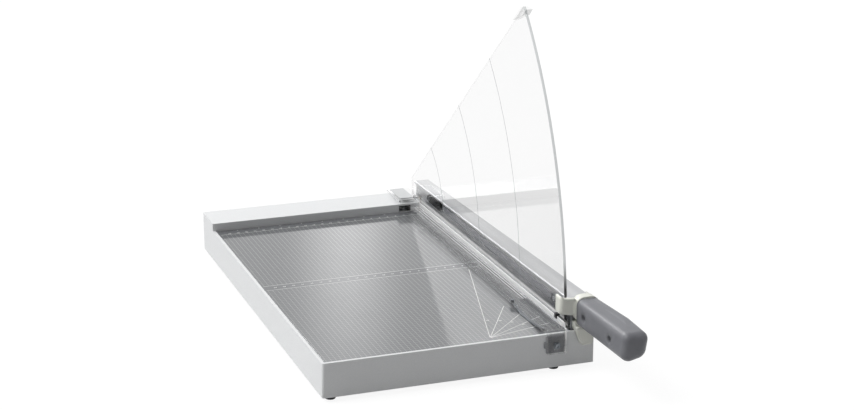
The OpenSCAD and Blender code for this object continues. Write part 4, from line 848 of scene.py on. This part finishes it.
@dataclass
class GlassTable:
    """The glass sheet with its printed 5 mm grid, scales and angle fan.

    The print's places are in millimetres in the row's frame, worked back from the
    photograph's camera; the fields name what each one is.
    """

    grid_first_x_mm: float = 6.71 - ORIGIN_X_MM
    grid_first_y_mm: float = 0.0
    middle_band_mm: tuple[float, float] = (220.5 - ORIGIN_Y_MM, 234.0 - ORIGIN_Y_MM)
    rear_band_mm: tuple[float, float] = (421.3 - ORIGIN_Y_MM, 440.0 - ORIGIN_Y_MM)
    side_margin_mm: float = 1.2
    front_margin_mm: float = 1.5
    rear_margin_mm: float = 1.0
    glass_edge_mm: float = 0.5
    zero_x_mm: float = 256.7 - ORIGIN_X_MM
    inches: int = 10
    centimetres: int = 25
    inch_labels_y_mm: float = 433.2 - ORIGIN_Y_MM
    cm_labels_y_mm: float = 423.8 - ORIGIN_Y_MM
    label_room_mm: float = 3.0
    label_mm: float = 3.2
    bold_mm: float = 0.08
    ink_mm: float = 0.03
    fan_apex_mm: tuple[float, float] = (175.3 - ORIGIN_X_MM, 12.9 - ORIGIN_Y_MM)
    rays: tuple[tuple[float, float], ...] = ((15.0, 74.0), (30.0, 80.0), (45.0, 84.0),
                                             (60.0, 92.0), (75.0, 208.0))
    ray_start_mm: float = 1.5
    ray_mm: float = 0.6
    angle_label_mm: float = 48.0
    angle_shift_mm: float = 3.0
    top: float = 0.0
    parts: list[Object] = field(default_factory=list)

    def build(self) -> None:
        """Dresses the glass and adds the printed figures."""
        low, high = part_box("glass_table")
        edge_x = (low.x / MM + self.side_margin_mm, high.x / MM - self.side_margin_mm)
        glass = PrintedGlass(
            first_mm=(self.grid_first_x_mm, self.grid_first_y_mm),
            bands_mm=(self.middle_band_mm, self.rear_band_mm),
            field_mm=(*edge_x, low.y / MM + self.front_margin_mm,
                      high.y / MM - self.rear_margin_mm),
        )
        dress(("glass_table",), glass.material(), Edge(self.glass_edge_mm))
        self.top = high.z
        self.figures(edge_x[0])

    def label(self, text: str, x_mm: float, y_mm: float) -> None:
        """Prints one number on the glass.

        Args:
            text: The number.
            x_mm: Its middle along X.
            y_mm: Its middle along Y.
        """
        bpy.ops.object.text_add(location=(x_mm * MM, y_mm * MM, self.top))
        number = bpy.context.object
        number.data.body, number.data.size = text, self.label_mm * MM
        number.data.align_x, number.data.align_y = "CENTER", "CENTER"
        number.data.resolution_u, number.data.extrude = 2, self.ink_mm / 2 * MM
        number.data.offset = self.bold_mm * MM
        bpy.ops.object.convert(target="MESH")
        self.settle(bpy.context.object)

    def ray(self, angle: float, end_mm: float) -> None:
        """Prints one line of the angle fan, with its number.

        Args:
            angle: Degrees from +X.
            end_mm: Distance of its far end from the fan's apex.
        """
        turn = math.radians(angle)
        along = Vector((math.cos(turn), math.sin(turn)))
        apex = Vector(self.fan_apex_mm)
        middle = apex + along * (self.ray_start_mm + end_mm) / 2
        bpy.ops.mesh.primitive_cube_add(
            size=1, location=(middle.x * MM, middle.y * MM, self.top), rotation=(0, 0, turn),
            scale=((end_mm - self.ray_start_mm) * MM, self.ray_mm * MM, self.ink_mm * MM))
        self.settle(bpy.context.object)
        spot = apex + along * self.angle_label_mm
        self.label(f"{angle:.0f}", spot.x + self.angle_shift_mm, spot.y)

    def settle(self, piece: Object) -> None:
        """Puts a printed mark's place into its mesh and keeps it for joining.

        Args:
            piece: The mark.
        """
        bpy.ops.object.transform_apply(location=True, rotation=True, scale=True)
        self.parts.append(piece)

    def figures(self, left_mm: float) -> None:
        """Prints the numbers of the scales and the angle fan, as one piece.

        Args:
            left_mm: Left edge of the print.
        """
        bpy.ops.object.select_all(action="DESELECT")
        middle_y_mm = sum(self.middle_band_mm) / 2
        for count, pitch_mm, rows_mm in (
                (self.inches, INCH_MM, (self.inch_labels_y_mm,)),
                (self.centimetres, 10, (self.cm_labels_y_mm, middle_y_mm))):
            for number in range(1, count + 1):
                x = self.zero_x_mm - number * pitch_mm
                if x > left_mm + self.label_room_mm:
                    for y in rows_mm:
                        self.label(str(number), x, y)
        for angle, end_mm in self.rays:
            self.ray(angle, end_mm)
        bpy.ops.object.select_all(action="DESELECT")
        for part in self.parts:
            part.select_set(True)
        bpy.context.view_layer.objects.active = self.parts[0]
        bpy.ops.object.join()
        piece = bpy.context.object
        piece.name = "table_figures"
        piece.data.materials.clear()
        piece.data.materials.append(SCREEN_INK.material())
        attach(piece, Rides.BASE.value)
        LOG.info("printed %s", piece.name)


@dataclass
class PressureClamp:
    """The clear clamp with its rail, guard, tabs, wire and spring.

    The profiles are places across or up a piece where the photograph shows a highlight, which is
    painted there; one paints thin lines of shade, and one makes the worn foot mirror less.
    """

    scribed_mm: tuple[float, ...] = (333.0, 216.7, 103.0)
    # Painted highlights across the plate: at its fillet, its ridges and its tab's edges.
    fillet: Along = Along("X", ((102.4, 0.0), (103.8, 0.18), (105.0, 0.26), (107.4, 0.4)))
    ridges: Along = Along("X", (
        (90.5, 0.0), (93.4, 0.02), (95.4, 0.22), (96.6, 0.2), (97.6, 0.1), (98.9, 0.1),
        (99.2, 0.75), (99.9, 0.75), (100.2, 0.04), (101.9, 0.04), (102.2, 0.7), (102.9, 0.7),
        (103.2, 0.06), (104.4, 0.16)))
    tab_edges: Along = Along("X", (
        (83.3, 0.3), (84.2, 0.3), (84.6, 0.08), (104.6, 0.08), (105.4, 0.85), (107.4, 0.85)))
    # Thin lines of painted shade across the plate.
    bottom_lines: Along = Along("X", (
        (83.5, 0.12), (84.2, 0.0), (88.6, 0.0), (89.4, 0.2), (90.2, 0.0), (107.4, 0.0)))
    # Painted highlights up the rail's face and the guard's foot.
    rail_face: Along = Along("Z", (
        (44.5, 0.42), (47.6, 0.62), (48.6, 0.72), (48.9, 0.2), (49.1, 0.2)))
    guard_foot: Along = Along("Z", (
        (48.0, 0.2), (49.2, 0.4), (50.3, 0.65), (51.4, 0.4), (52.4, 0.15), (54.0, 0.04),
        (57.0, 0.0)))
    worn_foot: Along = Along("Z", ((50.0, 0.4), (63.0, 0.5), (72.0, 1.0)))
    polish_mm: float = 0.25
    rail_polish_mm: float = 0.3
    film_edge_mm: float = 0.12

    def build(self) -> None:
        """Dresses the clamp's nodes."""
        low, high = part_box("pivot_spacer")
        centre = (0.0, (low.y + high.y) / 2, (low.z + high.z) / 2)
        polish = Edge(self.polish_mm)
        plate = ClearAcrylic(
            "acrylic_plate", mirror_share=0.2, corner_share=0.4, milky=(self.fillet,),
            shaded=self.bottom_lines, ridges=self.ridges, ridges_end_mm=-94.0,
            tab_edges=self.tab_edges, tab_front_mm=-186.5, tab_top_mm=45.4)
        rail = ClearAcrylic("acrylic_rail", mirror_share=0.6, milky=(self.rail_face,),
                            corner_share=0.95)
        # Their corners get the painted tone in grey: painted light and shade on the edges.
        block = ClearAcrylic("acrylic_block", milk="A2A4A6", mirror_share=1.0, corner_share=0.8)
        clip = ClearAcrylic("acrylic_clip", milk="8E9092", mirror_share=1.0, corner_share=0.35)
        # The guard's sawn edge gets painted shade low down and a painted glow; its grooves glow
        # with painted light in reflections.
        guard = ClearAcrylic(
            "scribed_acrylic", tint="F9F9F9", corner_share=0.0, arcs_mm=self.scribed_mm,
            centre=centre, milky=(self.guard_foot,), sawn_share=0.95, dark_below_mm=80.0,
            dulled=self.worn_foot)
        dress(("clamp_plate",), plate.material(), polish)
        dress(("clamp_rail",), rail.material(), Edge(self.rail_polish_mm))
        dress(("rear_tab", "tab_button"), block.material(), polish)
        dress(("fan_stop_clip",), clip.material(), polish)
        dress(("fan_guard",), guard.material(), polish)
        dress(("tab_panel",), FILM.material(), Edge(self.film_edge_mm, 1))
        dress(("wire_block",), BLACK_ABS.material(), polish)
        dress(("strip_spring",), STRIP_STEEL.material())
        dress(("stop_wire",), COATED_WIRE.material())


@dataclass
class BladeArm:
    """The aluminium arm with the blade, its fasteners and the bush."""

    arm_edge_mm: float = 0.12
    blade_edge_mm: float = 0.1
    strip_edge_mm: float = 0.15
    screw_edge_mm: float = 0.15
    block_edge_mm: float = 0.25
    bush_edge_mm: float = 0.2

    def build(self) -> None:
        """Dresses the arm's nodes."""
        dress(("blade_arm",), ALUMINIUM.material(), Edge(self.arm_edge_mm, 1))
        dress(("upper_blade",), BLADE_STEEL.material(), Edge(self.blade_edge_mm, 1))
        dress(("backing_strip",), STRIP_PAINT.material(), Edge(self.strip_edge_mm, 1))
        dress(("blade_screws", "strip_screws", "blade_set_screws", "bracket_screws"),
              ZINC.material(), Edge(self.screw_edge_mm))
        dress(("blade_set_block",), BLACK_ABS.material(), Edge(self.block_edge_mm))
        dress(("pivot_bush",), BRONZE.material(), Edge(self.bush_edge_mm))


@dataclass
class Handle:
    """The white end bracket and the two-part grip with its screws."""

    bracket_edge_mm: float = 0.8
    grip_edge_mm: float = 0.2
    screw_edge_mm: float = 0.15

    def build(self) -> None:
        """Dresses the handle's nodes."""
        dress(("end_bracket",), WHITE_ABS.material(), Edge(self.bracket_edge_mm, 3))
        dress(("grip_left", "grip_right"), GRIP_ABS.material(), Edge(self.grip_edge_mm))
        dress(("grip_screws",), ZINC.material(), Edge(self.screw_edge_mm))


# ---- studio


@dataclass(frozen=True)
class SoftBox:
    """A cloth-fronted lamp upright behind the object, which only gloss mirrors."""

    name: str
    place_m: tuple[float, float, float]
    size_m: tuple[float, float]
    level: float
    fade: tuple[float, float]

    def build(self) -> None:
        """Stands the lamp in the studio."""
        bpy.ops.object.select_all(action="DESELECT")
        bpy.ops.mesh.primitive_plane_add(size=1, location=self.place_m)
        box = bpy.context.object
        box.name = self.name
        box.dimensions = (self.size_m[0], self.size_m[1], 0)
        box.rotation_euler = (math.radians(90), 0, 0)
        made, tree = blank(self.name + "_cloth")
        flat = add(tree, "TexCoord").outputs["UV"]
        axes = add(tree, "SeparateXYZ", {"Vector": flat})
        fades = []
        for axis, power in zip("XY", self.fade):
            arch = merge(tree, Merge.ALL, axes.outputs[axis], math.pi)
            wave = add(tree, "Math", {0: arch}, operation="SINE").outputs["Value"]
            fades.append(add(tree, "Math", {
                0: wave, 1: power}, operation="POWER").outputs["Value"])
        light = add(tree, "Emission", {"Strength": merge(tree, Merge.ALL, *fades, self.level)})
        through = add(tree, "BsdfTransparent")
        cloth = add(tree, "AddShader", {0: light.outputs["Emission"], 1: through.outputs["BSDF"]})
        add(tree, "OutputMaterial", {"Surface": cloth.outputs["Shader"]})
        box.data.materials.append(made)
        box.visible_camera = box.visible_diffuse = box.visible_shadow = False
        box.visible_transmission = box.visible_volume_scatter = False


@dataclass
class Studio:
    """A white sweep, soft lights from the upper left, and the photograph's camera."""

    lens_mm: float = 81.63
    sensor_mm: float = 36.0
    clip_m: tuple[float, float] = (0.05, 50.0)
    place_m: tuple[float, float, float] = (-0.61866, -1.82279, 0.71748)
    yaw: float = 0.3411
    pitch: float = 0.2968
    roll: float = -0.002
    ambient: float = 0.34
    slope: tuple[float, float, float] = (0.0, 0.34, 0.25)
    key: float = 2.02
    key_spread_deg: float = 40.0
    key_from: tuple[float, float, float] = (-0.62, 0.16, 0.76)
    floor_m: float = 40.0
    paper: float = 0.14
    bounce: float = 0.5
    floor_lift: float = 0.9
    boxes: tuple[SoftBox, ...] = (
        SoftBox("high_box", (-0.6, 2.5, 1.55), (1.3, 0.66), 17.0, (0.3, 0.3)),
        SoftBox("strip_box", (0.86, 3.0, 0.98), (0.42, 1.2), 1.18, (2.2, 1.0)),
        SoftBox("broad_box", (-0.62, 2.7, 1.2), (1.3, 1.1), 2.7, (0.5, 0.5)),
    )

    def build(self) -> None:
        """Makes camera, floor, world and lights."""
        self.camera()
        self.floor()
        self.world()
        self.lights()
        for box in self.boxes:
            box.build()

    def camera(self) -> None:
        """Places the camera as the photograph's vanishing lines give it."""
        yaw = Matrix.Rotation(self.yaw, 3, "Z")
        tilt = Matrix.Rotation(self.pitch, 3, "X")
        swing = Matrix.Rotation(self.roll, 3, "Z")
        upright = Matrix(((1, 0, 0), (0, 0, -1), (0, 1, 0)))
        turn = swing @ upright @ tilt @ yaw
        right, down, ahead = (Vector(turn[i]) for i in range(3))
        data = bpy.data.cameras.new("camera")
        data.lens, data.sensor_width = self.lens_mm, self.sensor_mm
        data.clip_start, data.clip_end = self.clip_m
        camera = bpy.data.objects.new("camera", data)
        bpy.context.scene.collection.objects.link(camera)
        turned = Matrix((right, -down, -ahead)).transposed().to_4x4()
        camera.matrix_world = Matrix.Translation(Vector(self.place_m)) @ turned
        bpy.context.scene.camera = camera

    def floor(self) -> None:
        """Lays a pale sheet that reads as white where it is lit, and keeps the shadow."""
        bpy.ops.object.select_all(action="DESELECT")
        bpy.ops.mesh.primitive_plane_add(size=self.floor_m, location=(0, 0, 0))
        sheet = bpy.context.object
        sheet.name = "floor"
        made, tree = blank("white_paper_sweep")
        dull = add(tree, "BsdfDiffuse", {"Color": (self.bounce,) * 3 + (1.0,)})
        paper = add(tree, "BsdfDiffuse", {"Color": (self.paper,) * 3 + (1.0,)})
        lift = add(tree, "Emission", {"Strength": self.floor_lift})
        lit = add(tree, "AddShader", {0: paper.outputs["BSDF"], 1: lift.outputs["Emission"]})
        mixed = add(tree, "MixShader", {
            "Fac": self.seen(tree), 1: dull.outputs["BSDF"], 2: lit.outputs["Shader"]})
        add(tree, "OutputMaterial", {"Surface": mixed.outputs["Shader"]})
        sheet.data.materials.append(made)

    def seen(self, tree: NodeTree) -> NodeSocket:
        """Marks where the camera sees a surface directly, mirrored or through glass.

        Args:
            tree: Node tree of the world or the floor.

        Returns:
            The output socket, 1 where it is seen.
        """
        path = add(tree, "LightPath")
        rays = ("Is Camera Ray", "Is Transmission Ray", "Is Glossy Ray")
        return merge(tree, Merge.ANY, *(path.outputs[ray] for ray in rays))

    def world(self) -> None:
        """Fills the studio with soft light, and shows white to camera, gloss and glass.

        The light is strongest from above and behind.
        """
        world = bpy.data.worlds.new("studio")
        world.use_nodes = True
        tree = world.node_tree
        tree.nodes.clear()
        toward = add(tree, "TexCoord").outputs["Generated"]
        slope = add(tree, "VectorMath", {0: toward, 1: self.slope}, operation="DOT_PRODUCT")
        level = add(tree, "Math", {0: slope.outputs["Value"], 1: self.ambient}, operation="ADD")
        dim = add(tree, "Background", {"Color": WHITE, "Strength": level.outputs["Value"]})
        white = add(tree, "Background", {"Color": WHITE, "Strength": 1.0})
        mixed = add(tree, "MixShader", {
            "Fac": self.seen(tree), 1: dim.outputs["Background"], 2: white.outputs["Background"]})
        add(tree, "OutputWorld", {"Surface": mixed.outputs["Shader"]})
        bpy.context.scene.world = world

    def lights(self) -> None:
        """Hangs one broad key light at the upper left, a little behind the object."""
        data = bpy.data.lights.new("key", "SUN")
        data.energy, data.angle = self.key, math.radians(self.key_spread_deg)
        key = bpy.data.objects.new("key", data)
        bpy.context.scene.collection.objects.link(key)
        toward = Vector(self.key_from).normalized()
        key.rotation_euler = toward.to_track_quat("Z", "Y").to_euler()


def main() -> None:
    """Builds the studio and dresses the trimmer, piece by piece."""
    logging.basicConfig(level=logging.INFO, format="%(message)s")
    bpy.context.scene.view_settings.view_transform = "Standard"
    for part in (Studio(), SteelBase(), GlassTable(), PressureClamp(), BladeArm(), Handle()):
        LOG.info("building %s", type(part).__name__)
        part.build()


if __name__ == "__main__":
    main()
